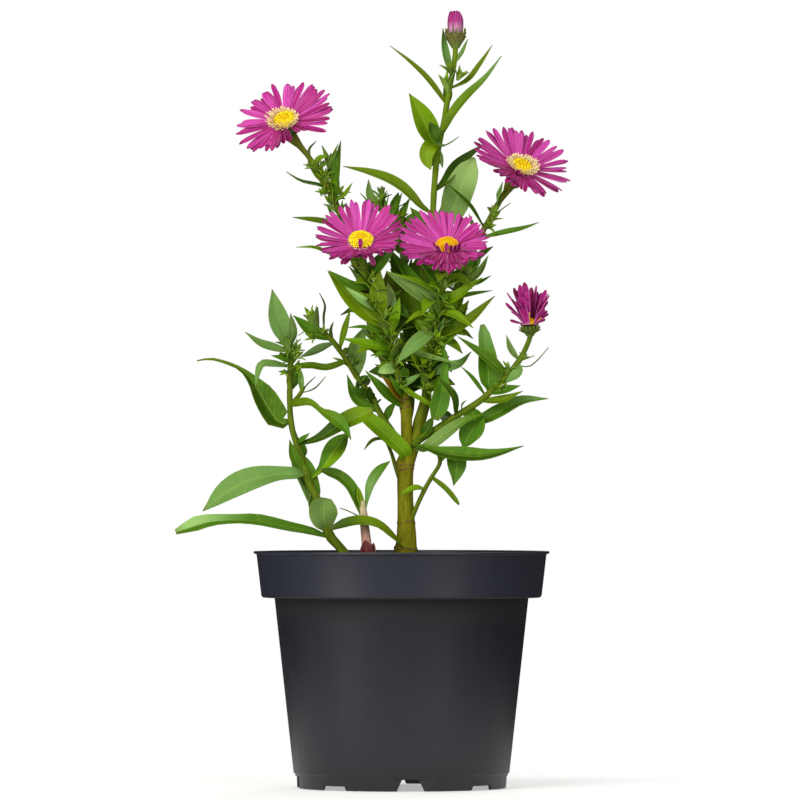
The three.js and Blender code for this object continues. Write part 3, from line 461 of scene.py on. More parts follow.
# The finishes of the plant
leafLooks = {
    "midrib": 0.07, "ribLight": 0.4, "rib": shown(188, 210, 96),
    "veins": 0.05, "vein": shown(180, 205, 60),
    "cloudScale": 90, "mottle": 0.2, "shadow": (0.3, 0.5, 0.28), "speckScale": 420, "specks": 0.1,
    "speck": shown(176, 196, 50), "edge": 0.16, "rim": shown(156, 182, 44),
    "roughTop": 0.46, "roughUnder": 0.62, "underGrey": shown(136, 160, 104), "underShare": 0.3,
}


def leafFinish(name, under):
    paint = Paint(name, **{"Specular IOR Level": 0.13})
    colour, _ = paint.attribute("hue")
    _, marks = paint.attribute("blade")
    side, along, chance = paint.split(marks)
    apart = paint.sum("ABSOLUTE", side, 0)
    rib = 1 - paint.step(apart, 0.0, leafLooks["midrib"] * (1.6 if under else 1))
    rib = rib * (1 - 0.6 * along)
    veins = paint.sum("SINE", (along * 9 - apart * 1.3 + chance) * 12, 0) * 0.5 + 0.5
    edge = paint.step(apart, 0.84, 1.0)
    speck = paint.noise(paint.place(), leafLooks["speckScale"], 4)
    cloud = paint.noise(paint.place(), leafLooks["cloudScale"], 2)
    if under:
        colour = paint.mix(leafLooks["underShare"], colour, leafLooks["underGrey"])
    clouded = paint.step(cloud, 0.35, 0.7) * leafLooks["mottle"]
    shade = paint.mix(clouded, colour, leafLooks["shadow"], "MULTIPLY")
    shade = paint.mix(paint.step(speck, 0.5, 0.75) * leafLooks["specks"], shade, leafLooks["speck"])
    shade = paint.mix(veins * leafLooks["veins"] * (1 - edge), shade, leafLooks["vein"])
    shade = paint.mix(rib * leafLooks["ribLight"], shade, leafLooks["rib"])
    shade = paint.mix(edge * leafLooks["edge"], shade, leafLooks["rim"])
    gloss = (leafLooks["roughUnder"] if under else leafLooks["roughTop"]) + 0.12 * speck
    relief = cloud * 0.5 + rib * (0.9 if under else -0.9)
    return paint.finish(shade, gloss, relief, depth=0.00016, strength=0.5)


leafTop = leafFinish("leaf_upper_side", False)
leafUnder = leafFinish("leaf_under_side", True)

stemLooks = {
    "joint": shown(104, 66, 48), "streak": 0.45, "pale": shown(150, 150, 18), "furrows": 0.3,
    "grooveShade": (0.2, 0.22, 0.12), "flecks": 0.25, "fleck": shown(86, 66, 40), "rough": 0.55,
}


def stemFinish():
    paint = Paint("stem_skin", **{"Specular IOR Level": 0.13})
    colour, _ = paint.attribute("hue")
    _, marks = paint.attribute("blade")
    around, height, joint = paint.split(marks)
    grain = paint.noise(paint.join(around * 5, height * 0.05, 0), 3.0, 3)
    fleck = paint.noise(paint.place(), 700, 3)
    # pale streaks round the stem, partly its own stripes and partly a painted highlight
    shade = paint.mix(paint.step(grain, 0.42, 0.72) * stemLooks["streak"], colour, stemLooks["pale"])
    # painted shade: the furrows, where the relief is low, are darkened
    grooveShade = paint.step(grain, 0.5, 0.3) * stemLooks["furrows"]
    shade = paint.mix(grooveShade, shade, stemLooks["grooveShade"], "MULTIPLY")
    scaly = paint.clamp(joint * (0.4 + 1.2 * paint.step(fleck, 0.35, 0.6)))
    shade = paint.mix(scaly, shade, stemLooks["joint"])
    shade = paint.mix(paint.step(fleck, 0.62, 0.7) * stemLooks["flecks"], shade, stemLooks["fleck"])
    return paint.finish(shade, stemLooks["rough"] + 0.2 * fleck, grain * 0.6 + fleck * 0.4,
                        depth=0.0003, strength=0.5)


stemSkin = stemFinish()

# In the petals' colours, edges is how strongly the painted highlight lightens the petal edges
petalLooks = {
    "root": shown(238, 180, 224), "roots": 0.4, "tip": shown(96, 16, 66), "tips": 0.6,
    "streak": shown(240, 146, 218), "streaks": 0.5, "fineStreaks": 0.2, "edges": 0.35,
    "deep": shown(132, 2, 84), "deeps": 0.6, "underDeep": shown(128, 14, 88), "underShare": 0.35,
    "rough": 0.5,
}


def petalFinish(name, under):
    paint = Paint(name, **{"Specular IOR Level": 0.12})
    colour, _ = paint.attribute("hue")
    _, marks = paint.attribute("blade")
    side, along, chance = paint.split(marks)
    lines = paint.noise(paint.join(side * 2.4 + chance * 40, along * 0.5, chance * 9), 2.2, 2)
    fine = paint.noise(paint.join(side * 9 + chance * 30, along * 1.2, 0), 2.0, 2)
    edge = paint.step(paint.sum("ABSOLUTE", side, 0), 0.78, 1.0)
    pale = petalLooks["streak"]
    shade = paint.mix(paint.step(lines, 0.52, 0.72) * petalLooks["streaks"], colour, pale)
    shade = paint.mix(paint.step(lines, 0.5, 0.3) * petalLooks["deeps"], shade, petalLooks["deep"])
    shade = paint.mix(paint.step(fine, 0.55, 0.75) * petalLooks["fineStreaks"], shade, pale)
    if under:
        shade = paint.mix(petalLooks["underShare"], shade, petalLooks["underDeep"])
    shade = paint.mix(paint.step(along, 0.16, 0.02) * petalLooks["roots"], shade, petalLooks["root"])
    # painted highlight: the petal's edges are painted paler, as if catching light
    shade = paint.mix(edge * petalLooks["edges"], shade, pale)
    shade = paint.mix(paint.step(along, 0.92, 1.0) * petalLooks["tips"], shade, petalLooks["tip"])
    return paint.finish(shade, petalLooks["rough"] + 0.15 * fine, lines * 0.7 + fine * 0.3,
                        depth=0.00006, strength=0.5)


petalTop = petalFinish("petal_upper_side", False)
petalUnder = petalFinish("petal_under_side", True)

pollenLooks = {"low": shown(226, 150, 10), "lows": 0.3, "grain": shown(255, 240, 130), "grains": 0.3}


def pollenFinish():
    paint = Paint("pollen_yellow", **{"Specular IOR Level": 0.2})
    colour, _ = paint.attribute("hue")
    _, marks = paint.attribute("blade")
    grain = paint.noise(paint.place(), 2600, 2)
    _, height, _ = paint.split(marks)
    shade = paint.mix(paint.step(height, 0.5, 0.05) * pollenLooks["lows"], colour, pollenLooks["low"])
    shade = paint.mix(paint.step(grain, 0.55, 0.75) * pollenLooks["grains"], shade, pollenLooks["grain"])
    return paint.finish(shade, 0.62 + 0.2 * grain, grain, depth=0.00004, strength=0.4)


pollen = pollenFinish()
print("stage: plant finishes mixed")

# The plant's tables
leafTones = {
    "bright": shown(107, 146, 2), "mid": shown(71, 118, 16), "dark": shown(46, 84, 6),
    "grey": shown(107, 145, 72), "pale": shown(150, 188, 108), "olive": shown(92, 121, 4),
    "bronze": shown(116, 86, 10), "wine": shown(110, 28, 60),
}

# Flowers, each by its disc's centre and the way it faces, with its rays rooted near the hub's
# radius. Angles go round the disc in degrees, from its right by its back. Reach gives the ray
# florets as angle, length from the centre and lift. Folded petals are given as angle, length,
# width, lift and curl, fan petals as their tip from the centre and width, and gaps as angles
# without rays. The fringe is the count and length of the threads round the disc, and swept
# makes them longer by a share to its right and to its back.
flowers = {
    "bloom_1": {
        "centre": [-51.3, -5, 292.7], "axis": [-0.18, -0.73, 0.66], "rays": 64, "wide": 2.8, "hub": 5.4,
        "disc": 4.6, "fringe": [200, 4.2], "swept": [-0.3, -0.4], "seed": 11, "gaps": [[268, 334]],
        "reach": [[0, 21, 15], [15, 22.2, 17], [30, 22.8, 21], [45, 22.4, 20], [65, 22.4, 12], [90, 23, 10],
                  [115, 22.6, 10], [135, 20, 9], [150, 20.4, 8], [162, 22.2, 7], [175, 21, 4],
                  [190, 21.8, 0], [205, 22, -1], [218, 21.4, -4], [232, 20, -6], [246, 16.5, -6],
                  [262, 14.5, -6], [340, 21.4, 5], [352, 20.4, 12]],
        "folded": [[288, 6.6, 2.8, -58, -14], [262, 10, 2.3, 6, -40], [272, 7, 2.2, -24, -40],
                   [256, 12, 2.4, 0, -36], [248, 13, 2.3, -4, -20], [318, 7, 2.4, 4, 10],
                   [328, 9, 2.4, 10, -6]],
    },
    "bloom_2": {
        "centre": [-17.8, -14, 239.4], "axis": [-0.02, -0.73, 0.68], "rays": 66, "wide": 2.3, "hub": 5.4,
        "disc": 4.9, "fringe": [46, 0.8], "seed": 23,
        "reach": [[0, 19.4, 23], [28, 19.8, 24], [55, 21.8, 23], [90, 21.6, 23], [115, 21, 23],
                  [138, 20.8, 22],
                  [160, 19.8, 22], [190, 20.4, 21], [215, 19.4, 20], [234, 18, 20], [250, 13, 30],
                  [290, 12, 32], [310, 14, 26], [330, 16.6, 21]],
        "folded": [[270, 5.2, 1.9, 114, 6], [302, 9, 2.5, -34, -20], [238, 11, 2.4, 0, -16],
                   [282, 7, 2.3, 14, -30], [258, 7, 2.3, 16, -20], [246, 12, 2.3, 4, 0]],
    },
    "bloom_3": {
        "centre": [20, -28, 236.6], "axis": [0, -0.72, 0.69], "rays": 84, "wide": 2.1, "hub": 5.4,
        "disc": 4.5, "fringe": [40, 1], "seed": 37, "golden": True, "gaps": [[240, 300]],
        "reach": [[5, 18.6, 11], [38, 18.4, 14], [65, 19.8, 15], [90, 20.6, 15], [118, 22, 16],
                  [143, 22.2, 15],
                  [160, 22, 14], [185, 21, 14], [205, 19.6, 10], [235, 15.5, 20],
                  [318, 15.5, 20], [345, 17.6, 9]],
        "folded": [[264, 5.6, 1.6, 108, 10], [222, 8, 2.4, 48, 40], [232, 6, 2.4, 50, 40],
                   [290, 4.4, 1.7, 104, 10], [303, 6, 2.3, 56, 40],
                   [312, 8, 2.4, 46, 50], [324, 9, 2.3, 40, 30],
                   [220, 13, 2.3, 20, 10], [228, 9, 2.5, 38, -60], [234, 12, 2.3, 8, 0],
                   [241, 8, 2.5, 44, -90], [246, 11, 2.3, 2, -16], [251, 8, 2.3, 30, -80],
                   [257, 9, 2.6, -6, -36], [262, 7, 2.4, 44, -120], [266, 9, 2.5, 4, -50],
                   [273, 10, 2.3, -16, -6], [277, 7, 2.3, 30, -90], [283, 9, 2.5, -2, -30],
                   [288, 8, 2.4, 46, -110], [293, 10, 2.3, 0, -14], [299, 8, 2.4, 24, -70],
                   [305, 11, 2.4, 12, -4], [313, 10, 2.3, 32, -50], [269, 6, 2.2, 52, -150],
                   [256, 6, 2.2, 66, -140], [280, 6, 2.3, 58, -150], [296, 6, 2.2, 54, -130]],
    },
    "bloom_4": {
        "centre": [52.6, 4, 272.5], "axis": [0.32, -0.62, 0.72], "rays": 64, "wide": 2.7, "hub": 5.4,
        "disc": 4.6, "fringe": [200, 4.2], "swept": [0, -0.3], "seed": 41, "gaps": [[178, 262]],
        "reach": [[0, 23.4, 14], [18, 23.4, 20], [42, 22, 20], [65, 21.8, 20], [90, 22.4, 20],
                  [113, 22.8, 20],
                  [132, 23.2, 18], [150, 22.8, 15], [165, 23.8, 14], [180, 20, 12], [195, 17, 12],
                  [262, 11.5, 2], [280, 15, -6], [290, 17.5, -8], [305, 19.4, 0], [325, 21.6, 2],
                  [340, 22, 6]],
        "folded": [[184, 15, 2.5, 10, 6], [191, 14, 2.6, 14, 6], [197, 13, 2.6, 4, 10],
                   [203, 12.4, 2.6, 10, 10], [209, 12, 2.6, 20, -30], [215, 12, 2.5, 2, 30],
                   [221, 11, 2.5, 14, -40], [227, 9, 2.6, -8, 40], [233, 9, 2.4, 6, -50],
                   [239, 8, 2.5, -20, 40],
                   [245, 8, 2.4, 4, -60], [252, 9, 2.4, 4, -40], [259, 10, 2.4, 0, -30],
                   [206, 9, 2.5, -8, 40], [218, 8, 2.5, -16, 60], [231, 7, 2.5, 16, 70],
                   [243, 6, 2.3, 10, 60]],
    },
    "bloom_5": {
        "centre": [56, -9.6, 203.4], "axis": [-0.05, -0.3, 0.95], "hub": 2.6, "disc": 2.4,
        "fringe": [7, 5], "swept": [0, -0.3], "seed": 53, "golden": True,
        "fan": [[-10, -2, 13.6, 2.1], [-10.6, -3, 9, 2.1], [-8.2, -5, 5.2, 2], [-8.6, -2, 1.4, 1.9],
                [-6.9, 2, 15.8, 2.3], [-4.4, -3, 17, 2.6], [-2.2, 2, 18.2, 2.5], [-1.7, -4, 17.4, 2.7],
                [0.8, 3, 16, 2.3], [3, 2.6, 16.8, 2], [7.2, 0, 14.8, 2.8], [8.3, 2, 13.3, 2.2],
                [8, -1.4, 9.8, 2.2], [7.7, -2.4, 5.6, 2.1], [8.4, 0.6, 4.4, 2], [6.9, -1.4, 2, 1.9],
                [-6.2, -5, 12, 2.5], [-3.2, -6, 13.4, 2.6], [-7.6, 0, 10.8, 2.2], [-4.8, 4, 15.2, 2.3],
                [5.6, -3, 10.6, 2.3], [5.4, 4, 13.6, 2.3], [0.5, 6, 15.6, 2.3], [-2.6, 6, 16, 2.3],
                [-5.6, -5, 7, 2.3], [-8.8, -4, 7, 2.1], [-2.4, -6, 9, 2.4], [3.6, 6, 14, 2.2],
                [-6.2, -6, 9.6, 2.6], [-4.2, -6.6, 12.4, 2.6], [-1.8, -6.4, 14.6, 2.6],
                [-7.4, -5, 6.2, 2.5],
                [-3.4, -6.6, 6.6, 2.6], [8.6, -2, 12.4, 2.6], [6.4, -4.6, 6.6, 2.4],
                [-1.6, -6.8, 10.4, 2.3]],
    },
    "bud": {
        "centre": [23.8, 4, 332.6], "axis": [0, -0.03, 1], "rays": 30, "wide": 2.5, "hub": 3.2, "seed": 61,
        "closed": 9.2,
    },
}

# Each shoot: its stem's [x, y, z, radius] points, then its leaves as height on the stem, width,
# turn to the viewer in degrees, outline, tone and points out to the tip. Leafy buds are given
# as foot, axis, length, leaflets and spread in degrees. Fillers are plain leaves in a spiral
# up the stem, from a height to a height, with their count, length and width, and axils are
# small leafy buds in the same way, without a width. In a tone, > goes from root to tip and |
# from the one half of the blade to the other.
shoots = {
    "main_stem": {
        "stem": [[1.8, 0, 80, 3.6], [1.8, 0, 102, 4.9], [2.2, 0, 108, 4.5], [2, 0, 117, 3.8],
                 [1.6, 0, 127, 3.5], [1.6, 0, 137, 3.5], [1.6, 0, 141, 3.9], [2.2, 0, 146, 3.2]],
        "hue": ["olive", "olive"], "rings": [104.8, 116.6, 139.9, 141.8],
        "leaves": [
            [105, 5.8, 45, "strap", "bright>dark", [-5.1, -12, 110.8], [-11.6, -17, 115.8],
             [-18.2, -19, 117.2],
             [-24.8, -19.5, 116], [-31, -18, 113.6]],
            [143, 7.8, 60, "strap", "bright", [1.4, -4.4, 146.8], [-2.6, -4.8, 151], [-7, -5, 155.2],
             [-12.6, -5, 160], [-18.4, -4, 164.4]],
        ],
        "twigs": [
            {
                "stem": [[2.2, 0, 142, 2.6], [2.3, -0.5, 150, 2.6], [2.2, -0.8, 157, 2.4],
                         [2, -1, 166, 2.6], [1.1, -1, 172, 2.2], [0.6, -1, 176, 1.6]],
                "hue": ["olive", "olive"], "rings": [167, 170],
                "leaves": [
                    [150.9, 8, 50, "petioled", "mid|dark", [10.3, -9, 149.3], [15.6, -12, 147.6],
                     [23.5, -14, 146], [34.5, -14, 145.4], [43.3, -14, 147], [53.4, -14, 150]],
                    [166, 6.4, 50, "lance", "mid", [-6.6, -6, 172.4], [-11.6, -7, 177.8], [-15.8, -8, 183]],
                    [168, 6, 50, "lance", "bronze", [-4.2, -8, 174.8], [-8.6, -9.5, 180.8]],
                    [170, 3.4, 60, "lance", "mid", [-2.4, -8, 176], [-5, -10, 181]],
                ],
            },
            {
                "stem": [[3, 0, 142, 2.5], [6, 0.6, 152, 2.6], [8, 1.2, 161, 2.7],
                         [10.6, 2, 170, 2.4], [11.6, 2.4, 175, 1.8]],
                "hue": ["olive", "moss"],
                "leaves": [
                    [153, 5.6, 60, "oval", "dark", [11, -4.5, 156.5], [13.8, -5.5, 162.8]],
                ],
            },
        ],
    },
    "left_shoot": {
        "axils": [[184, 194, 4, 7]],
        "lean": -0.11,
        "stem": [[-17, -4, 84, 1.7], [-21, -4.5, 94, 2], [-25.7, -5, 104.3, 2], [-30.1, -5, 108.7, 2],
                 [-33.6, -5, 115.8, 1.9], [-36.7, -4, 126.3, 1.8], [-41.5, -3, 136, 1.7],
                 [-45, -1, 148.3, 1.5], [-48.1, 0, 157.9, 1.3], [-49, 1, 168, 1.2],
                 [-48.6, 1, 186, 1.2], [-48.5, 1, 194.4, 1]],
        "leaves": [
            [109.4, 7.6, 50, "twisted", "mid|mid>pale", [-40.2, -8, 112.6], [-49, -11, 114.4],
             [-62.2, -14, 117],
             [-73.1, -16, 117.6], [-86.3, -17, 116.6], [-98.6, -18, 112.2]],
            [138, 11.4, 65, "winged", "grey", [-46, -7, 137.8], [-54, -8, 137.5], [-66.6, -12, 135],
             [-75.3, -14, 130.4], [-86.8, -15, 121.6]],
            [161, 12, 60, "tailed", "dark>olive|mid>olive", [-52.4, 0.6, 159.6], [-58.2, 3, 166.6],
             [-64.6, 5, 177.4], [-70.2, 6, 183.4], [-77.5, 7, 186.7], [-84.1, 8, 188.2], [-89.8, 8, 187.4]],
            [151, 4.4, 60, "strap", "grey", [-46.8, -1, 143], [-42.8, -1.6, 133], [-37.4, -2.4, 121]],
            [131, 4, 60, "lance", "grey", [-39.4, -2.6, 124], [-35.8, -3, 117.6], [-32.6, -4, 113.4]],
            [146, 3.8, 60, "strap", "mid", [-40.6, -2, 141], [-38, -2.4, 134], [-36.6, -3, 127]],
            [184.7, 4, 50, "lance", "grey", [-57, -3, 185.8], [-61.3, -5, 185.4], [-63.9, -6, 175.6]],
            [191.3, 5, 50, "lance", "grey", [-61.3, -5, 194.4], [-68.3, -8, 199.7]],
            [192.5, 9, 85, "lance", "grey", [-53.8, 4, 205.4], [-56.7, 6, 218.6]],
            [194, 3.8, -70, "lance", "dark", [-47.5, -3, 200], [-48.5, -4, 208]],
            [188, 3, 60, "lance", "mid", [-52.5, -4, 188.5], [-56.9, -6, 189.5]],
            [168, 5.8, 60, "necked", "olive>mid", [-39.3, -10, 168.6], [-34.9, -14, 165.2],
             [-30.1, -18, 162.5], [-25.3, -20, 158.6], [-22, -22, 152.7]],
            [150.5, 9, 55, "club", "dark>bright", [-36.4, -9, 153.2], [-27, -12, 159],
             [-19, -14, 162.6], [-12.6, -14, 165.4]],
            [151, 3, 60, "lance", "mid", [-42.5, -5, 153.5], [-40.2, -6, 155.7]],
            [135, 9, 70, "spoon", "mid|bright>dark", [-34.8, -2, 140.3], [-29.8, 0, 147.4],
             [-23.4, 2, 155.8]],
            [112.5, 12.6, 80, "fan", "grey", [-34.2, -9, 119.6], [-33, -10, 127.2]],
            [137, 5, 70, "lance", "mid", [-47, -5, 145], [-49, -5, 152.7]],
            [144, 6, 55, "oval", "mid", [-44.6, 8, 148], [-46, 15, 154]],
            [174, 6, 40, "lance", "mid", [-47, 9, 180], [-45, 15, 188]],
            [120, 5, 20, "lance", "dark", [-38, 6, 124], [-41, 14, 125]],
        ],
        "tufts": [
            [[-48.7, 0, 190.5], [-0.3, -0.4, 1], 10, 10, 36],
            [[-47.6, -0.5, 188], [0.7, -0.5, 0.7], 7, 8, 40],
            [[-49.6, -0.5, 186.6], [-0.8, -0.6, 0.6], 6.5, 7, 45],
            [[-47.6, -1, 183.6], [0.6, -0.8, 0.1], 6, 6, 40],
            [[-49.4, -1, 182.6], [-0.5, -0.8, -0.1], 6, 6, 40],
        ],
        "twigs": [
            {
                "stem": [[-49, 1, 168, 0.9], [-45, -1, 172, 0.9], [-42.6, -2, 176, 0.8]],
                "leaves": [
                    [173, 1.4, 0, "lance", "dark", [-38, -4, 175], [-33.2, -5, 180.3]],
                    [174, 1.4, 0, "lance", "dark", [-40, -3, 178], [-37.6, -3, 180.3]],
                    [174, 2.6, 60, "lance", "grey", [-44, -3, 179], [-44.2, -3, 184]],
                ],
            },
        ],
    },
    "seedling": {
        "stem": [[-15, -12, 91, 2], [-15, -12, 104.3, 2.3], [-16, -12, 113.1, 2],
                 [-16.8, -12, 119.7, 1.8], [-17.2, -12, 126, 1.3]],
        "hue": ["mauve", "cream"],
        "leaves": [
            [119, 5.4, 60, "strap", "mid>dark", [-19.6, -12.5, 126.8], [-22.8, -13, 132.8],
             [-27.8, -14, 137], [-35.2, -15, 139.4]],
            [119, 4.6, 70, "spoon", "grey>mid", [-15, -11.5, 127], [-13.4, -11, 133.6],
             [-9.6, -11, 139.4], [-5, -10, 143.4]],
            [122, 3.2, 60, "oval", "bright", [-18.4, -13.5, 128], [-18.9, -14, 132]],
            [118, 1.2, 0, "lance", "dark", [-23.5, -13, 121.5], [-27, -13, 122.8]],
            [99, 5.8, 80, "oval", "wine", [-15.4, -15.2, 104], [-15.6, -15.6, 108.8]],
            [99, 4.4, 60, "oval", "wine", [-12.8, -14, 103.6], [-12.2, -14.5, 107.6]],
        ],
    },
    "middle_left_shoot": {
        "fillers": [[176, 192, 3, 9, 2.8]], "axils": [[164, 190, 3, 5]],
        "lean": 0.16,
        "stem": [[1.5, 1, 146, 1.2], [-2.9, 4, 154.9, 1.3], [-8.1, 6, 162.3, 1.3],
                 [-13.8, 7, 172.4, 1.2], [-20.4, 7, 181.6, 1.2], [-24.8, 7, 188.7, 1.1],
                 [-31.4, 6, 197.5, 1.1], [-36, 5, 201.5, 1]],
        "leaves": [
            [200, 2.6, 40, "lance", "dark", [-34.6, 3, 207.6], [-34, 2, 212], [-36.2, 1, 217.6]],
            [196, 2.2, 40, "lance", "dark", [-31, 4, 201], [-30.1, 4, 204.8]],
            [197, 6.6, 60, "lance", "mid", [-40.2, 3, 201], [-47.7, 1, 207.6]],
            [199, 1.5, 0, "lance", "mid", [-42.4, 2, 200.5], [-45.5, 1, 198.5]],
            [195.5, 4.5, -60, "lance", "grey", [-38, 1, 191.8], [-44.6, -4, 189.1]],
            [187.5, 3.4, 60, "strap", "olive", [-33, 5, 184.6], [-40, 6, 185.4], [-48.4, 6, 184.8]],
            [192.2, 3, 60, "lance", "bright", [-25.7, 7, 198.8], [-22.6, 6, 210.6]],
            [180.3, 8.6, 80, "lance", "grey", [-19.5, 9, 192.2], [-16.5, 10, 202.7]],
            [165, 5, 70, "lance", "mid", [-20, 4, 171], [-24, 3, 181.5]],
            [169, 5, 60, "oval", "dark", [-14.4, 4, 172.6], [-14, 3, 176.2]],
            [171, 4.8, 60, "oval", "dark", [-17.6, 3, 173.4], [-21.8, 2, 174.6]],
            [160.5, 4, 60, "lance", "mid", [-5.5, 7, 165], [-2.4, 6, 169.6]],
            [176, 6.4, 60, "oval", "mid", [-17, 14, 178], [-21, 22, 174]],
        ],
        "tufts": [
            [[-36.8, 5, 200.5], [-0.3, -0.2, 1], 12, 9, 24], [[-38.6, 4, 203], [-0.5, -0.3, 1], 9, 8, 30],
            [[-35, 4, 199], [0.2, -0.5, 0.9], 6, 5, 34],
            [[-37.6, 3.6, 197.6], [-0.7, -0.6, 0.1], 6, 7, 44],
        ],
    },
    "left_twig": {
        "stem": [[-0.5, 0, 134, 0.9], [-2.9, 2.6, 141.7, 0.9], [-4.2, 3.4, 146.1, 0.8],
                 [-6.8, 3.6, 152.7, 0.7]],
        "leaves": [
            [152.5, 2.1, 40, "lance", "olive", [-9.4, 3, 153.1], [-13, 2, 152.2], [-16.5, 1, 148.3]],
        ],
    },
    "right_twig": {
        "stem": [[3, -1, 114, 1], [6.4, -3, 122.8, 1], [8.6, -4, 127.6, 1], [11.2, -5, 132.9, 0.95],
                 [13.8, -5.5, 137.3, 0.9], [16.9, -5.5, 143, 0.9], [15.2, -4.5, 149, 0.7]],
        "leaves": [
            [131, 3.2, 50, "lance", "bright", [5.9, -7, 131.6], [-0.7, -7.5, 128.6]],
            [136.2, 3, 40, "strap", "olive", [19.2, -7, 131.2], [25.2, -8, 124.2]],
            [143, 8.6, 80, "petioled", "mid", [20, -7.5, 146.6], [23.8, -8.5, 143.6], [23.9, -9, 138],
             [22.8, -9.5, 132.6]],
        ],
    },
    "right_branch": {
        "axils": [[176, 190, 3, 5]],
        "lean": -0.14,
        "stem": [[4, 0, 150.4, 1.8], [13.4, -3, 156.3, 1.5], [24.8, -6, 163.6, 1.3],
                 [34.5, -7, 169.8, 1.3], [43.3, -8, 178.1, 1.2], [51.2, -8, 186.9, 1.2],
                 [55.1, -7.6, 194.4, 1.1], [56.5, -7.2, 198.4, 1.1]],
        "leaves": [
            [150.5, 6.4, 60, "lance", "grey>mid", [9.6, -5, 148.8], [19, -8, 155.2], [28, -10, 161.2],
             [36, -11, 164]],
            [167.5, 11, 75, "oval", "mid", [31.9, -6.5, 159.2], [29.2, -7, 154], [27, -7, 149.2]],
            [164.5, 6.8, 60, "lance", "mid>grey", [34.4, -5, 161.4], [43, -4, 165.2], [53, -3, 169.8],
             [64.4, -2, 170.8]],
            [169.5, 4.6, 45, "lance", "olive", [45, -11, 170.3], [53, -12, 174]],
            [173, 4.4, 60, "lance", "mid", [46.4, -11, 174.8], [52, -12, 176.4]],
            [173.5, 9, 80, "blunt", "mid>grey", [37.6, -4, 187.8], [35.4, -3, 203.2]],
            [181, 5.8, 55, "broadBase", "mid", [36.7, -12, 188.7], [24.4, -14, 197.9]],
            [186, 4.6, 60, "lance", "grey", [51.2, -11, 182.8], [45.2, -12, 177.4]],
            [187.5, 3.2, 60, "lance", "grey", [47.7, -9, 192.2], [45.9, -9, 198.4]],
            [187, 1.2, 0, "lance", "mid", [54.5, -8.5, 188], [58.2, -9, 189.5]],
            [185.5, 1.5, 0, "lance", "dark", [55.6, -8, 184.6], [58.6, -8, 186.5], [64.4, -8, 193.1]],
            [172, 2.2, 60, "lance", "mid", [30.1, -10, 180.8], [26.1, -11, 184.7]],
            [163, 4, 60, "lance", "dark", [22.6, -13, 172], [15.6, -15, 180.4]],
            [165, 2, 40, "lance", "mid", [26.5, -7, 167.5], [28.3, -7, 170]],
            [176, 5.6, 50, "oval", "mid", [43, 1, 180], [47, 7, 185]],
            [160, 6, 60, "oval", "dark", [20, 4, 163], [24, 12, 160]],
        ],
        "tufts": [
            [[41.5, -8.4, 175], [0.1, -0.7, 0.4], 5, 9, 50],
            [[46.5, -8, 181.5], [-0.3, 0, 1], 4, 6, 35], [[44, -9, 178], [0.3, -0.9, 0], 6, 8, 55],
        ],
        "flower": "bloom_5", "cup": [3.1, 5.4, 1.3],
    },
    "bloom_1_stem": {
        "fillers": [[172, 226, 14, 14, 5.2], [256, 276, 6, 7, 2.6]],
        "axils": [[176, 230, 5, 8], [250, 274, 6, 7]],
        "lean": 0.07,
        "stem": [[1.1, 1, 169, 1.5], [-5.1, 5, 181.2, 1.5], [-11.6, 8, 196.6, 1.5],
                 [-17.4, 9, 218.6, 1.4], [-22.6, 9, 240.5, 1.4], [-27, 8, 251.5, 1.3],
                 [-30.5, 7, 260.7, 1.2], [-35.8, 5, 270.3, 1.1], [-42.4, 3, 279.4, 1.1],
                 [-46.6, 2, 284.4, 1.7], [-48.8, 1.8, 286.8, 3.2]],
        "hue": ["moss", "reddish"],
        "leaves": [
            [276, 1.5, 0, "lance", "dark", [-40.6, 2, 280.5], [-37.6, 1, 284.4]],
            [273, 1, 0, "lance", "dark", [-36, 1, 275], [-31.9, 0, 273]],
            [255, 4.6, 60, "lance", "mid>dark", [-29.2, 5, 264], [-28.4, 4, 274], [-26.8, 4, 284.6]],
            [266, 4.8, 70, "oval", "olive", [-37.6, 3, 271.4], [-41.4, 2, 277.4]],
            [258, 4, 60, "lance", "mid", [-29.4, 4, 268], [-30.6, 3, 276]],
            [258, 2.4, 50, "lance", "bright", [-25, 6, 261], [-21.7, 5, 266]],
            [261, 2.4, 40, "lance", "dark", [-35.4, 4, 264.6], [-44.6, 2, 266.8], [-50.7, 0, 270.8]],
            [256, 2.2, 50, "lance", "bright", [-32, 5, 257.5], [-34, 4, 260.5]],
            [248, 3.4, 50, "lance", "olive", [-38, 5, 249.4], [-48, 2, 250.8]],
            [242, 3.8, 60, "lance", "mid", [-26.6, 6, 251], [-26, 5, 258.4]],
            [244, 3.6, 60, "lance", "mid", [-29.4, 6, 250], [-32.8, 4, 256]],
            [226, 6.6, 60, "oval", "mid", [-20, 16, 233], [-25, 23, 239]],
            [206, 5.6, 45, "lance", "dark", [-20, 14, 210], [-27, 20, 208]],
        ],
        "tufts": [
            [[-37, 3, 271], [-0.5, -0.5, 0.8], 8, 9, 45],
            [[-34, 5, 266], [0.4, -0.6, 0.8], 7, 8, 45],
            [[-33, 5, 261], [-0.6, -0.6, 0.4], 6, 8, 45],
            [[-31.4, 6, 269], [-0.05, 0, 1], 14, 9, 22],
        ],
        "flower": "bloom_1", "cup": [4.4, 9.4, 1.8],
    },
    "bloom_2_stem": {
        "fillers": [[174, 218, 26, 14, 5.4]], "axils": [[178, 228, 14, 8]],
        "stem": [[0.9, -1, 172, 1.5], [-2.4, -2, 183.4, 1.5], [-4.2, -3, 192.2, 1.5],
                 [-5.9, -4, 198.8, 1.5], [-9.4, -5, 206.3, 1.5], [-11.6, -5.6, 214.2, 1.5],
                 [-13.8, -6.2, 220.8, 1.5], [-16, -7, 227, 1.6], [-17.6, -7.8, 234.2, 1.7]],
        "leaves": [
            [230, 3.2, 40, "lance", "bright", [-31.4, -10, 234.2], [-38, -12, 236.8],
             [-46.2, -13, 237]],
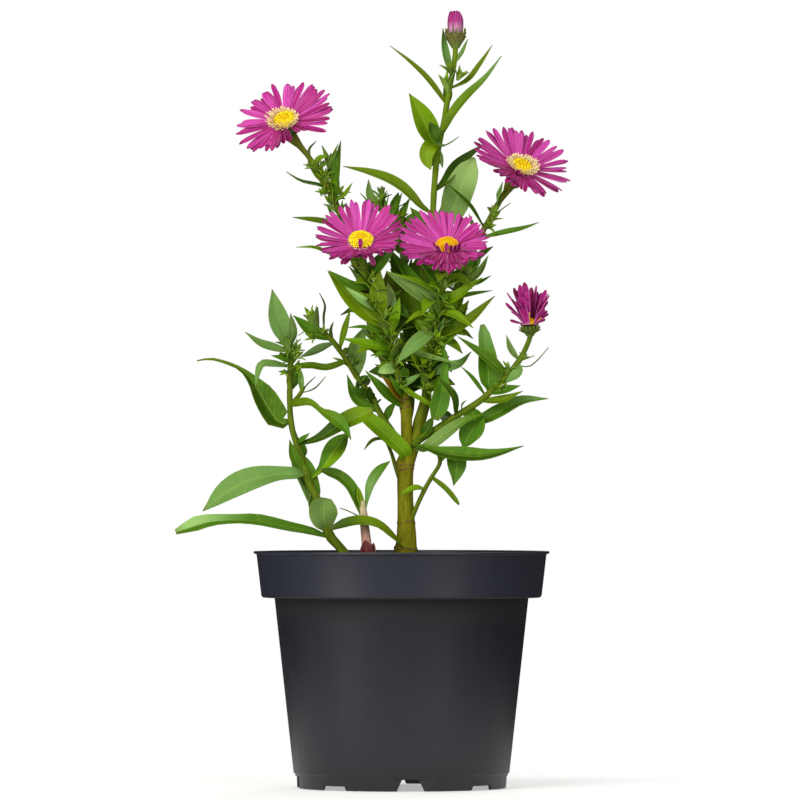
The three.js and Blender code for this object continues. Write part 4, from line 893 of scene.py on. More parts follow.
            [219, 4.2, 60, "lance", "mid", [-22.6, -12, 220.6], [-31.9, -15, 226.8]],
            [201.9, 9.5, 70, "lance", "bright", [-19.1, -9, 212], [-32.3, -11, 226.5]],
            [205, 8, 88, "lance", "olive", [-10.3, -10, 214.2], [-9.6, -11.5, 227.5]],
            [222, 3.8, 60, "lance", "mid>grey", [-7, -14, 231], [-1.1, -20, 240]],
            [209, 4, 60, "lance", "pale", [-17, -13, 213.6], [-24.8, -14, 219.8]],
            [176, 3.8, 60, "lance", "grey", [3, -8, 178], [8.4, -9, 181.6]],
            [222.5, 4.6, 60, "lance", "mid", [-10.8, -4, 230.9], [-5.5, -3, 236.1]],
            [197.5, 2.6, 50, "lance", "mid", [-16, -8, 201.9], [-23.9, -10, 201.9]],
            [191.8, 4.6, 55, "lance", "bright", [-13.8, -8, 194.4], [-26.1, -12, 197]],
            [188.7, 3.2, 50, "lance", "mid", [-7.5, -6, 190.9], [-11.8, -8, 188.7]],
            [204, 5.4, 80, "lance", "pale", [-4.6, -6, 214.2], [-6.4, -7, 222]],
            [198, 4.6, 80, "lance", "bright", [-2.4, -9, 208], [-0.7, -10, 215.4]],
            [199.5, 4, 60, "lance", "dark", [0, -5, 204], [5.1, -6, 211.5]],
            [184, 4.8, 80, "oval", "pale", [-6.5, -6, 183.6], [-10.4, -7, 182.2]],
            [181, 3, 30, "strap", "bright", [2, -7, 174.6], [13.6, -9, 167.4]],
            [193, 3, 40, "lance", "grey", [6, -10, 191], [14, -12, 188.6], [24.8, -13, 186.2]],
            [210, 6.4, 60, "oval", "mid", [-12, 3, 217], [-15, 9, 224]],
        ],
        "tufts": [
            [[-5.5, -5, 197], [0.5, -0.8, 0.6], 8, 9, 50], [[-3, -5, 188], [0.6, -0.8, 0.2], 7, 9, 55],
            [[-11, -8, 212], [-0.5, -0.8, 0.5], 8, 9, 50], [[-15, -9, 222], [0.6, -0.8, 0.5], 8, 9, 50],
            [[0, -4, 177], [-0.5, -0.8, 0.4], 6, 8, 55],
        ],
        "flower": "bloom_2", "cup": [4.4, 8.2, 1.8],
    },
    "bloom_3_stem": {
        "fillers": [[172, 228, 32, 14, 5.4]], "axils": [[176, 226, 15, 8]],
        "stem": [[10, 1, 170, 1.5], [11.2, -2, 180, 1.5], [13, -4.5, 188, 1.5], [14.3, -6.5, 194.4, 1.5],
                 [15.2, -9, 201, 1.5], [16, -12, 207.6, 1.5], [16.9, -15, 214.2, 1.5],
                 [18.2, -18.4, 220.8, 1.5], [19.5, -20.8, 226, 1.6], [20, -22.6, 231, 1.6]],
        "leaves": [
            [215.5, 3, 40, "lance", "bright", [8.1, -19, 221.2], [-2.9, -20, 225.1]],
            [209.8, 8, 55, "lance", "grey", [5.9, -17, 217.7], [-6.8, -17, 226.5]],
            [209, 4.4, 50, "lance", "bright", [24.4, -19, 206.5], [31.4, -22, 201.5]],
            [211.5, 5.4, 55, "broadBase", "bright", [23.5, -18, 215.2], [35.4, -20, 223.6]],
            [213, 2.6, 50, "lance", "mid", [27.9, -12, 215.9], [39.8, -12, 218.1]],
            [197, 6, 55, "lance", "olive", [28.4, -11, 204], [40.8, -13, 215.6]],
            [201, 6.6, 75, "lance", "grey", [7.2, -16, 195.7], [-2.4, -19, 186]],
            [198, 3, 60, "lance", "grey", [17.5, -13, 202], [18.7, -15, 206.3]],
            [220, 3, 50, "lance", "mid", [12, -21, 225], [8.1, -22, 230.9]],
            [213, 6.4, 60, "lance", "mid", [7, -6, 220], [1, -6, 228], [-4.2, -6, 235.6]],
            [203, 6, 70, "lance", "olive", [23, -9, 210], [28, -9, 219]],
            [193, 5, 60, "lance", "mid", [21, -9, 198], [27, -10, 206]],
            [181, 5.4, 60, "lance", "grey>dark", [19.1, -8, 184], [25.7, -10, 186], [30.5, -11, 191.3]],
            [196, 8, 80, "paddle", "mid", [19, -9, 190], [18.8, -10, 181], [17, -10, 170],
             [14.6, -10, 161.4]],
            [205, 6.4, 60, "oval", "dark", [18, -5, 211], [22, 0, 218]],
        ],
        "twigs": [
            {
                "stem": [[16.5, -13, 211, 1], [24, -11, 217.5, 1], [30, -10, 224, 0.9]],
                "leaves": [
                    [220, 3.8, 60, "lance", "grey", [34, -10, 226], [38, -10, 233.5]],
                    [217, 6.4, 70, "oval", "mid", [29.5, -8, 225], [32.6, -7, 237]],
                    [219, 2.6, 40, "lance", "mid", [34, -9, 221.6], [39.3, -8, 224.7]],
                ],
                "tufts": [
                    [[29, -10, 223], [0.2, -0.3, 1], 8, 10, 50],
                    [[23.5, -11, 217], [0.1, -0.6, 0.8], 7, 9, 50],
                ],
            },
        ],
        "tufts": [
            [[12.2, -5, 184], [-0.4, -0.8, 0.5], 8, 10, 55],
            [[14.6, -9, 196], [0.3, -0.9, 0.4], 8, 10, 55],
            [[18.2, -18, 220], [-0.5, -0.6, 0.6], 8, 9, 55],
            [[17, -15, 212], [0.5, -0.8, 0.4], 8, 10, 55],
            [[10.8, -4, 174], [0.1, -0.8, 0.6], 6.5, 10, 65],
            [[15.6, -12, 204], [-0.6, -0.7, 0.5], 8, 9, 55],
            [[13.5, -6.5, 190], [0.6, -0.8, 0.3], 7, 9, 55],
        ],
        "flower": "bloom_3", "cup": [4.4, 8.2, 1.7],
    },
    "bloom_4_stem": {
        "fillers": [[172, 232, 14, 14, 5.2], [248, 262, 4, 6, 2.4]], "axils": [[178, 230, 7, 7]],
        "lean": 0.07,
        "stem": [[9, 2, 166, 1.4], [12.8, 6.6, 179, 1.4], [17.4, 8, 192.2, 1.4], [23.5, 9, 214.2, 1.4],
                 [30.1, 9.4, 231.7, 1.3], [34, 9.6, 241.4, 1.3], [38.9, 9.8, 250.2, 1.2],
                 [43.3, 9.8, 258.1, 1.2], [47, 9.4, 263.2, 1.6], [48.8, 8.9, 266.6, 3.3]],
        "hue": ["moss", "reddish"],
        "leaves": [
            [255.6, 3.8, 50, "lance", "grey", [43.2, 6, 260.4], [44.6, 4, 266.4]],
            [252, 1, 0, "lance", "mid", [43, 7, 253.5], [48.1, 6, 257.2]],
            [241.6, 3, 50, "lance", "mid", [43.3, 7, 243.8], [53.4, 5, 246], [60.6, 4, 248.6]],
            [246, 3.2, 40, "lance", "dark", [30.1, 4, 255.6], [19.5, 1, 266]],
            [243, 2.6, 60, "lance", "mid", [31.5, 6, 247], [29.7, 4, 252.4]],
            [194, 7.4, 70, "lance", "olive", [24, 4.5, 204.5], [29.6, 4, 214.2]],
            [222, 6.8, 60, "oval", "mid", [30, 17, 229], [35, 24, 234]],
            [205, 5.8, 45, "lance", "dark", [22, 18, 208], [18, 26, 204]],
        ],
        "tufts": [
            [[40.4, 8.6, 251], [0, -0.5, 1], 5.4, 9, 26], [[34.6, 8, 241], [-0.7, -0.6, 0.7], 6, 7, 40],
            [[38, 9, 246], [0.4, -0.8, 0.5], 6, 9, 45],
            [[39.6, 8, 249], [0.6, -0.5, 0.8], 7, 8, 40],
        ],
        "flower": "bloom_4", "cup": [4.4, 10.2, 1.7],
    },
    "back_bud_shoot": {
        "fillers": [[172, 246, 20, 15, 5.6]], "axils": [[180, 256, 9, 8]],
        "lean": 0.08,
        "stem": [[2.2, 0, 157, 1.1], [4.4, 6, 167, 1.2], [4.4, 9, 184, 1.2], [3.4, 11, 214.2, 1.2],
                 [1.5, 11, 231.7, 1.1], [-2.9, 10, 244.9, 1.1], [-6.4, 9, 253.7, 1.1],
                 [-8.6, 8, 260.3, 1]],
        "leaves": [
            [254, 4, 80, "lance", "grey", [-13.6, 7, 260], [-14.6, 6, 267.7]],
            [240, 6.4, 60, "oval", "mid", [2.4, 8, 246.6], [7, 7, 253.6]],
            [194, 11, 85, "oval", "bright", [5.6, 4, 206], [2.6, 3, 221]],
            [210, 11, 85, "oval", "olive", [7.6, 4, 221], [9.4, 3, 236]],
            [204, 10, 85, "oval", "olive", [-3, 4, 213], [-6.4, 3, 227]],
            [254, 2, 40, "lance", "mid", [-13, 5, 256], [-18.2, 4, 261.6]],
            [247, 4.8, 70, "oval", "mid", [-3.2, 8, 254], [-1.4, 7, 262]],
            [243, 4.2, 60, "lance", "mid", [0, 8, 251], [3.6, 7, 259.6]],
            [254, 1, 0, "lance", "dark", [-1.5, 7, 255.4], [4.6, 6, 259]],
            [250, 3.4, 60, "lance", "mid", [-2.4, 7, 256], [0.2, 6, 261.6]],
            [222, 7, 70, "lance", "mid", [-2, 6, 229], [-4.6, 4, 236]],
            [238, 6.4, 60, "oval", "mid", [2, 17, 244], [6, 22, 250]],
            [200, 6.6, 60, "oval", "dark", [2, 18, 204], [-4, 26, 201]],
            [178, 5.6, 45, "lance", "mid", [1, 14, 184], [-4, 20, 190]],
        ],
        "tufts": [
            [[-8.6, 8, 258], [0, -0.2, 1], 8, 13, 42], [[-6, 9, 252], [-0.7, -0.4, 0.8], 9, 9, 45],
            [[-3.6, 9, 249], [0.8, -0.4, 0.7], 9, 9, 45], [[1, 10, 242], [0.7, -0.4, 0.8], 11, 9, 45],
            [[-9, 7, 256], [-0.8, -0.5, 0.3], 7, 8, 50],
            [[3.2, 7, 182], [0.3, -0.9, 0.5], 7, 9, 50],
        ],
    },
    "bud_stem": {
        "fillers": [[176, 240, 16, 15, 5.2]], "axils": [[184, 244, 6, 8]],
        "lean": 0.04,
        "stem": [[11, 2.3, 171, 1.3], [12.4, 3.4, 184, 1.3], [13.4, 5, 214.2, 1.3],
                 [13.8, 6, 244.9, 1.3], [14.3, 6, 262.5, 1.3], [16, 6, 280.1, 1.25],
                 [18.7, 5.5, 293.2, 1.2], [20.9, 5, 306.4, 1.2], [23.1, 4.4, 317.4, 1.1],
                 [23.9, 4.2, 325.4, 1.2]],
        "hue": ["moss", "fresh"],
        "leaves": [
            [313, 4, 60, "lance", "grey>dark", [19.1, 2, 324], [18.2, 1, 334.1]],
            [318.3, 2.4, 50, "lance", "grey", [26.5, 3, 323], [29.2, 2, 329.3]],
            [300.4, 3.2, 50, "broadBase", "olive", [12.3, 3, 310.8], [3.7, 0, 319.2], [-5.1, -2, 326.2]],
            [307.4, 3.2, 40, "lance", "olive", [29, 7, 311.2], [35.2, 8, 319.2], [40, 9, 327]],
            [286.6, 5.4, 50, "broadBase", "olive>grey", [23.2, 2, 297], [29.2, 0, 304.4], [36.6, -2, 311.6],
             [44, -4, 321.6]],
            [280, 10, 75, "lance", "bright", [11.2, 4, 290.5], [7.4, 2, 298], [3.4, 1, 305.2]],
            [282, 8, 60, "oval", "mid>dark", [15.4, -2, 285.6], [12.3, -3, 292.4]],
            [284, 6.8, 75, "oval", "bright", [12.4, 1, 281.4], [11, 0.4, 277.4], [12.8, 0, 271.6]],
            [281, 3, 60, "lance", "grey", [17, 8, 277], [18.2, 8, 272.6]],
            [281.5, 1.2, 0, "lance", "mid", [20.9, 3, 283.1], [25.3, 2, 286.2]],
            [262, 5.6, 50, "lance", "dark", [19.8, 10, 267], [24.4, 14, 273.6], [31, 15, 279.3],
             [36.6, 16, 283.6]],
            [246, 12.8, 85, "round", "grey>pale", [22, 10.5, 253.3], [25.8, 11, 263.4], [32.1, 11, 277.4]],
            [252, 6, 50, "lance", "olive", [8.6, 3, 255.4], [4.2, 1, 259.8], [-0.4, 0, 264],
             [-5.8, -1, 267.4], [-13.8, -2, 270.2], [-25.7, -3, 273]],
            [243, 6, 65, "lance", "mid", [8.5, 3, 249], [3.9, 2, 255]],
            [300, 4, 60, "oval", "mid", [20.4, 12, 306], [19.4, 17, 311]],
            [272, 6, 60, "oval", "mid", [13.6, 13, 280], [10.6, 18, 287]],
            [228, 6.6, 60, "oval", "dark", [15, 14, 232], [20, 23, 230]],
            [198, 5.6, 45, "lance", "mid", [13, 12, 204], [8, 19, 211]],
        ],
        "tufts": [
            [[24.4, 3.4, 311], [0.5, -0.5, 1], 7, 9, 34], [[22, 3.4, 313.4], [-0.2, -0.7, 1], 7, 9, 30],
            [[20.9, 4.6, 305], [-0.3, -0.3, 1], 12, 7, 22], [[17, 5.6, 286], [-0.4, -0.6, 0.9], 7, 8, 40],
            [[13.8, 6, 247], [-0.6, -0.4, 0.8], 9, 8, 48],
        ],
        "flower": "bud", "cup": [3.7, 7.2, 1.2],
    },
}


def leaning(shoot, slope=None, root=None):
    # the shoot with its points set back by its lean for each millimetre above its root
    slope = shoot.get("lean", 0) if slope is None else slope
    root = shoot["stem"][0][2] if root is None else root

    def back(row):
        return [row[0], row[1] + slope * (row[2] - root), *row[2:]]

    moved = dict(shoot)
    moved["stem"] = [back(row) for row in shoot["stem"]]
    moved["leaves"] = [row[:5] + [back(point) for point in row[5:]] for row in shoot.get("leaves", [])]
    moved["tufts"] = [[back(row[0]), *row[1:]] for row in shoot.get("tufts", [])]
    moved["twigs"] = [leaning(twig, slope, root) for twig in shoot.get("twigs", [])]
    if "flower" in shoot:
        moved["flower"] = dict(flowers[shoot["flower"]])
        moved["flower"]["centre"] = back(moved["flower"]["centre"])
    return moved


stemTones = {
    "moss": shown(78, 106, 12), "fresh": shown(94, 128, 10), "olive": shown(112, 114, 2),
    "reddish": shown(94, 98, 22), "mauve": shown(204, 62, 132), "cream": shown(198, 190, 150),
}


def onStem(stem, height):
    # the stem's centre at a height
    rows = np.array([row[:3] for row in stem], dtype=float)
    return np.array([np.interp(height, rows[:, 2], rows[:, k]) for k in range(3)])


stemHabit = {
    "swell": 0.1, "swellLong": 1.3, "ring": 0.08, "ringLong": 0.4, "ribs": 0.035, "brown": 0.75,
}


def layStem(bundle, rows, tones, rings, joints):
    # a round stem through its rows, swollen at its joints and browned at its rings
    way = track([row[:3] for row in rows], lambda along: np.broadcast_to(viewer, along.shape))
    master = masters["trunk" if rings else "stem"]
    x, y, share = master["points"].T
    spots = np.array([row[:3] for row in rows], dtype=float)
    reached = np.concatenate([[0], np.cumsum(np.linalg.norm(np.diff(spots, axis=0), axis=1))])
    radii = np.interp(share, reached / reached[-1], [row[3] for row in rows])
    centre = spread(way, "line", share)
    height = centre[:, 2]
    angle = np.arctan2(y, x)
    wavy = height + 0.35 * np.sin(3 * angle + 1) + 0.2 * np.sin(7 * angle)
    swell = sum(np.exp(-((height - joint) / stemHabit["swellLong"]) ** 2) for joint in joints)
    brown = sum(np.exp(-((wavy - ring) / stemHabit["ringLong"]) ** 4) for ring in rings)
    radii = radii * (1 + stemHabit["swell"] * np.minimum(swell, 1) + stemHabit["ring"] * brown
                     + stemHabit["ribs"] * np.cos(5 * angle + 9 * share))
    points = (centre + spread(way, "across", share) * (x * radii)[:, None]
              + spread(way, "up", share) * (y * radii)[:, None])
    low, high = (np.array(stemTones[tone]) for tone in tones)
    hue = low + (high - low) * share[:, None]
    browned = np.broadcast_to(stemHabit["brown"] * brown, share.shape)
    marks = np.stack([angle / math.pi, share * way["long"], browned], 1)
    bundle.add(points, master["faces"], marks, hue)


def leafFacing(root, tip, turn):
    # the upper side's direction of a leaf that is turned to the viewer by some degrees
    outward = np.array([tip[0] - root[0], tip[1] - root[1], 0.0])
    outward = unit(outward) if np.linalg.norm(outward) > 0.01 else np.array([0.0, 1.0, 0.0])
    level = np.array([-outward[1], outward[0], 0.0])
    roll = math.radians(turn)

    def facing(along):
        toViewer = viewer - along * np.sum(viewer * along, axis=1, keepdims=True)
        return np.cross(along, level) * math.cos(roll) + toViewer * math.sin(roll)

    return facing


def tipped(hue, along, tip):
    # a hue that turns to a tip's colour, the tip as its start, length, share and colour
    start, over, share, colour = tip
    covered = np.clip((along - start) / over, 0, 1)[:, None] * share
    return hue * (1 - covered) + np.array(colour) * covered


def marked(master, own):
    # a blade's marks: its place across, its place along and a number of its own
    side, along = master["marks"].T
    return np.stack([side, along, np.full(len(side), own)], 1)


leafHabit = {
    "thick": 0.34, "ripple": 0.1, "twist": 14, "rootHalf": 1.3, "smallUnder": 2.5,
    "toneSpread": 0.16, "warmSpread": 0.24, "turnsAt": 0.55, "turnsOver": 0.3,
    "rootPaintedShade": 0.25, "tip": [0.93, 0.07, 0.5, shown(96, 84, 40)],
}


def layLeaf(bundle, stem, row, chance):
    # a leaf from its height on the stem out through its points, in its tones
    height, wide, turn, outline, tone, *points = row
    root = onStem(stem, height)
    way = track([root, *points], leafFacing(root, points[-1], turn))
    master = masters[outline + ("Small" if wide < leafHabit["smallUnder"] else "")]
    ripple, phase, twist, shade, warm = chance.random(5)
    placed = layBlade(master, way, wide, rootHalf=leafHabit["rootHalf"],
                      ripple=leafHabit["ripple"] * (ripple - 0.3), phase=phase,
                      twist=leafHabit["twist"] * (twist - 0.5))
    side, along = master["marks"].T
    turning = np.clip((along - leafHabit["turnsAt"]) / leafHabit["turnsOver"], 0, 1)[:, None]
    halves = []
    for half in (tone.split("|") * 2)[:2]:
        low, high = [np.array(leafTones[part]) for part in (half.split(">") * 2)[:2]]
        halves.append(low + (high - low) * turning)
    hue = np.where(side[:, None] < 0, *halves) * (1 + leafHabit["toneSpread"] * (shade - 0.5))
    hue = hue * [1 + leafHabit["warmSpread"] * (warm - 0.5), 1, 1]
    # painted shade: each leaf is darker close to its root, where it meets the stem
    hue = hue * (1 - leafHabit["rootPaintedShade"] * np.exp(-along * 9))[:, None]
    bundle.add(placed, master["faces"], marked(master, phase), tipped(hue, along, leafHabit["tip"]))


def aroundAxis(axis):
    # out of a flower's face, to its right and to its back
    out = unit(np.array(axis, dtype=float))
    right = -unit(np.cross(out, skyward))
    return out, right, np.cross(out, right)


def aside(right, back, angle):
    # the way out from an axis, at an angle round it
    return right * math.cos(angle) + back * math.sin(angle)


tuftHabit = {
    "wide": 0.27, "narrowest": 1.3, "inner": shown(140, 172, 30), "outer": shown(92, 132, 34),
    "tip": [0.8, 0.2, 0.35, shown(78, 66, 44)],
}
spiral = 2.4  # radians from one small leaf to the next


def layTuft(bundle, row, chance):
    # a leafy bud: leaflets in a spiral, the outer ones leaning out and the inner ones upright
    foot, axis, long, leaflets, spreading = row
    foot = np.array(foot, dtype=float)
    out, right, back = aroundAxis(axis)
    master = masters["leaflet"]
    for k in range(leaflets):
        inner = k / leaflets
        angle = spiral * k + 0.9 * chance.random()
        away = aside(right, back, angle)
        lean = math.radians(spreading * (1.3 - 1.2 * inner) * (0.7 + 0.6 * chance.random()))
        size = (1.0 - 0.45 * inner) * (0.65 + 0.5 * chance.random()) * long
        start = foot + away * 0.3 + out * 0.25 * long * inner
        middle = start + size * 0.5 * aside(out, away, lean * 0.7)
        end = middle + size * 0.5 * aside(out, away, lean * 1.1)
        way = track([start, middle, end], lambda along: np.broadcast_to(out * 0.5 - away, along.shape))
        placed = layBlade(master, way, max(tuftHabit["narrowest"], tuftHabit["wide"] * size))
        hue = np.array(tuftHabit["outer"]) * (1 - inner) + np.array(tuftHabit["inner"]) * inner
        hue = hue * (0.75 + 0.5 * chance.random())
        marks = marked(master, angle)
        bundle.add(placed, master["faces"], marks, tipped(hue, marks[:, 1], tuftHabit["tip"]))


fillerTones = ("mid", "bright", "olive", "bright", "dark")
axilTuft = {"leaflets": 6, "spread": 44, "out": 0.9, "lean": 0.8}


def layFillers(bundle, stem, row, chance):
    # plain leaves in a spiral up a stem
    low, high, count, long, wide = row
    for k in range(count):
        height = low + (high - low) * (k + 0.5) / count
        angle = spiral * k + 0.8 * chance.random()
        away = np.array([math.cos(angle), math.sin(angle), 0])
        size = long * (0.6 + 0.6 * chance.random())
        root = onStem(stem, height)
        droop = -0.05 + 0.85 * chance.random()
        turn = 15 + 55 * chance.random()
        points = [root + away * size * 0.45 + skyward * size * 0.32,
                  root + away * size * 0.9 + skyward * size * droop]
        tone = fillerTones[int(5 * chance.random())]
        layLeaf(bundle, stem, [height, wide * (0.8 + 0.5 * chance.random()), turn, "lance", tone, *points],
                chance)


def layAxils(bundle, stem, row, chance):
    # small leafy buds in a spiral up a stem
    low, high, count, long = row
    for k in range(count):
        height = low + (high - low) * (k + 0.5) / count
        angle = spiral * k + 1.1 + 0.8 * chance.random()
        away = np.array([math.cos(angle), math.sin(angle), 0])
        foot = onStem(stem, height) + away * axilTuft["out"]
        size = long * (0.75 + 0.5 * chance.random())
        axis = away * axilTuft["lean"] + skyward
        layTuft(bundle, [foot, axis, size, axilTuft["leaflets"], axilTuft["spread"]], chance)


def layRound(bundle, centre, out, right, back, profile, hue):
    # a turned body about an axis, from radius and distance pairs
    shape = masters["core"]
    x, y, share = shape["points"].T
    places = np.linspace(0, 1, len(profile))
    radii = np.interp(share, places, [radius for radius, _ in profile])
    along = np.interp(share, places, [distance for _, distance in profile])
    points = (np.array(centre) + right * (x * radii)[:, None] + back * (y * radii)[:, None]
              + out * along[:, None])
    marks = np.stack([np.arctan2(y, x) / math.pi, share, 0 * share], 1)
    bundle.add(points, shape["faces"], marks, hue)


bractHabit = {
    "rows": [[1.0, 0.46, 2.2, 1.2], [0.84, 0.22, 1.2, 1.2], [0.6, -0.02, 0.3, 1.2]],
    "count": 13, "green": shown(78, 108, 24), "tip": shown(104, 70, 46), "skin": shown(58, 84, 18),
    "budRise": 0.2, "budFlare": 0.45, "tipFrom": 0.55, "budTipFrom": 0.1, "tipOver": 0.4, "tipShare": 0.8,
}


def layCup(bundle, flower, cup, chance):
    # the green cup: a rounded core under three overlapping rows of pointed bracts
    radius, depth, stemRadius = cup
    out, right, back = aroundAxis(flower["axis"])
    centre = np.array(flower["centre"], dtype=float)
    profile = [(stemRadius, -depth), (radius * 0.52, -depth * 0.76), (radius * 0.78, -depth * 0.5),
               (radius * 0.94, -depth * 0.25), (radius * 0.96, -0.7)]
    layRound(bundle, centre, out, right, back, profile, bractHabit["skin"])
    heights = [depth * -1.0, depth * -0.76, depth * -0.5, -1.2, 0.6]
    widths = [stemRadius, radius * 0.56, radius * 0.84, radius * 1.06, radius * 1.14]
    isBud = "closed" in flower
    tip = [bractHabit["budTipFrom" if isBud else "tipFrom"], bractHabit["tipOver"],
           bractHabit["tipShare"], bractHabit["tip"]]
    bract = masters["bract"]
    for tier, (low, high, flare, wide) in enumerate(bractHabit["rows"]):
        if isBud:
            high, flare = high - bractHabit["budRise"], flare * bractHabit["budFlare"]
        for k in range(bractHabit["count"]):
            angle = 2 * math.pi * (k + 0.5 * (tier % 2) + 0.3 * chance.random()) / bractHabit["count"]
            away = aside(right, back, angle)
            path = []
            for share in (0, 0.35, 0.7, 1):
                height = -depth * (low + (high - low) * share)
                girth = np.interp(height, heights, widths) + 0.12 + flare * share ** 3
                path.append(centre + out * height + away * girth)
            way = track(path, lambda along: np.broadcast_to(-away, along.shape))
            placed = layBlade(bract, way, wide * radius / 3.4)
            hue = np.array(bractHabit["green"]) * (0.85 + 0.3 * chance.random())
            marks = marked(bract, angle)
            bundle.add(placed, bract["faces"], marks, tipped(hue, marks[:, 1], tip))


def growShoot(stems, leaves, shoot, chance):
    # a shoot with its leaves, buds and twigs, and the cup of its flower
    rows = shoot["stem"]
    if "flower" in shoot:
        cup = shoot["cup"]
        middle = np.array(shoot["flower"]["centre"]) - 0.6 * cup[1] * unit(
            np.array(shoot["flower"]["axis"], dtype=float))
        rows = [*rows, [*middle, cup[2]]]
    joints = [row[0] for row in shoot["leaves"]]
    layStem(stems, rows, shoot.get("hue", ["moss", "moss"]), shoot.get("rings", []), joints)
    for row in shoot["leaves"]:
        layLeaf(leaves, shoot["stem"], row, chance)
    for row in shoot["tufts"]:
        layTuft(leaves, row, chance)
    for row in shoot.get("fillers", []):
        layFillers(leaves, rows, row, chance)
    for row in shoot.get("axils", []):
        layAxils(leaves, rows, row, chance)
    for twig in shoot["twigs"]:
        growShoot(stems, leaves, twig, chance)
    if "flower" in shoot:
        layCup(leaves, shoot["flower"], shoot["cup"], chance)


rayHabit = {
    "thick": 0.2, "ripple": 0.05, "twist": 26, "steps": 6, "budRoot": shown(250, 214, 236),
    "tones": [shown(214, 80, 182), shown(184, 38, 136), shown(126, 0, 68)],
}


def layPetal(bundle, path, guide, wide, tone, roll, isPale=False):
    # one ray floret along its path, its upper side facing the guide
    way = track(path, lambda along: np.broadcast_to(guide, along.shape))
    master = masters["petal"]
    placed = layBlade(master, way, wide, ripple=rayHabit["ripple"] * (tone - 0.5), phase=tone,
                      twist=rayHabit["twist"] * (roll - 0.5))
    marks = marked(master, tone)
    light, middle, deep = [np.array(colour) for colour in rayHabit["tones"]]
    hue = light + (middle - light) * 2 * tone if tone < 0.5 else middle + (deep - middle) * (2 * tone - 1)
    if isPale:
        low = np.clip(1 - (marks[:, 1:2] - 0.05) / 0.5, 0, 1)
        hue = hue + (np.array(rayHabit["budRoot"]) - hue) * low
    bundle.add(placed, master["faces"], marks, hue)


def rayPath(centre, out, turned, radius, along, long, bends):
    # points from a ray's root out, turned and bent at each step by its own angles
    path = []
    for away, bent in zip(turned, bends):
        path.append(centre + away * radius + out * along)
        radius += long / rayHabit["steps"] * math.cos(math.radians(bent))
        along += long / rayHabit["steps"] * math.sin(math.radians(bent))
    return path


def growRays(name, flower):
    # the ray florets: rooted under the disc, each with its own lift, sway, length and roll
    chance = np.random.default_rng(flower["seed"])
    out, right, back = aroundAxis(flower["axis"])
    centre = np.array(flower["centre"], dtype=float)
    petals = Bundle()
    shares = [step / rayHabit["steps"] for step in range(rayHabit["steps"] + 1)]
    isClosed = "closed" in flower
    root = flower["hub"] * (1.0 if isClosed else 0.78)
    turns, lengths, lifts = zip(*flower.get("reach", [[0, root + flower.get("closed", 0), 0]]))
    for k in range(flower.get("rays", 0)):
        lift, sway, length, roll, wide, tone, curl = chance.random(7)
        angle = 2 * math.pi * (k + 0.9 * (sway - 0.5)) / flower["rays"]
        degrees = math.degrees(angle) % 360
        if any(low < degrees < high for low, high in flower.get("gaps", [])):
            continue
        rise = np.interp(degrees, turns, lifts, period=360) + 13 * (lift - 0.5)
        long = (np.interp(degrees, turns, lengths, period=360) - root) * (0.9 + 0.16 * length)
        turned = [aside(right, back, angle + 0.16 * (sway - 0.5) * share) for share in shares]
        bends = [rise * (0.55 + 0.6 * share) - 16 * curl * share ** 2 for share in shares]
        if isClosed:
            bends = [82 + 30 * share for share in shares]
        path = rayPath(centre, out, turned, root * (1 - 0.45 * wide * isClosed), -0.3, long, bends)
        away = aside(right, back, angle)
        guide = -away if isClosed else out + np.cross(out, away) * 0.3 * (roll - 0.5)
        # the rays at the back catch more light and look paler
        tone = min(1, 0.72 * tone + 0.16 * (1 - math.sin(angle)))
        layPetal(petals, path, guide, flower["wide"] * (0.82 + 0.3 * wide), tone, roll, isClosed)
    for x, y, z, wide in flower.get("fan", []):
        # the petals of a half-open flower, each from the hub to its tip
        tip = np.array([x, y, z])
        away = unit(np.array([x, y, 0.0]))
        start = away * flower["hub"] - out * 0.4
        wide = 1.3 * wide
        middle = start + 0.52 * (tip - start) + out * 0.05 * z - away * 0.4
        shade, roll = chance.random(2)
        layPetal(petals, [centre + start, centre + middle, centre + tip],
                 out * 0.4 - away + np.cross(out, away) * (roll - 0.5), wide, 0.3 + 0.7 * shade, roll)
    for angle, long, wide, lift, curl in flower.get("folded", []):
        # short petals that hang, curl or fold in over the disc
        away = aside(right, back, math.radians(angle))
        foot = flower["disc"] * (1.16 if lift > 90 else 0.98)
        bends = [lift + curl * share for share in shares]
        path = rayPath(centre, out, [away] * len(shares), foot, 0.6, long, bends)
        middle = math.radians(lift + curl / 2)
        # painted shade: the folded petals take the deepest tones, as if in the flower's own shadow
        layPetal(petals, path, out * math.cos(middle) - away * math.sin(middle), wide,
                 0.7 + 0.3 * chance.random(), 0.2 + 0.6 * chance.random())
    petals.piece(f"{name}_petals", [petalTop, petalUnder], "petal", [f"{name}_rays"], rayHabit["thick"], 60)


discHabit = {
    "florets": 150, "forRadius": 5.2, "turn": 2.39996, "wide": 1.05, "tall": 1.1, "opened": 0.5,
    "thread": 0.4,
    "closed": shown(255, 226, 14), "open": shown(255, 234, 40), "under": shown(246, 200, 10),
    "cream": shown(255, 240, 184), "threadRoot": shown(204, 116, 104),
    "goldOpen": shown(252, 196, 18), "goldThread": shown(240, 150, 40),
}


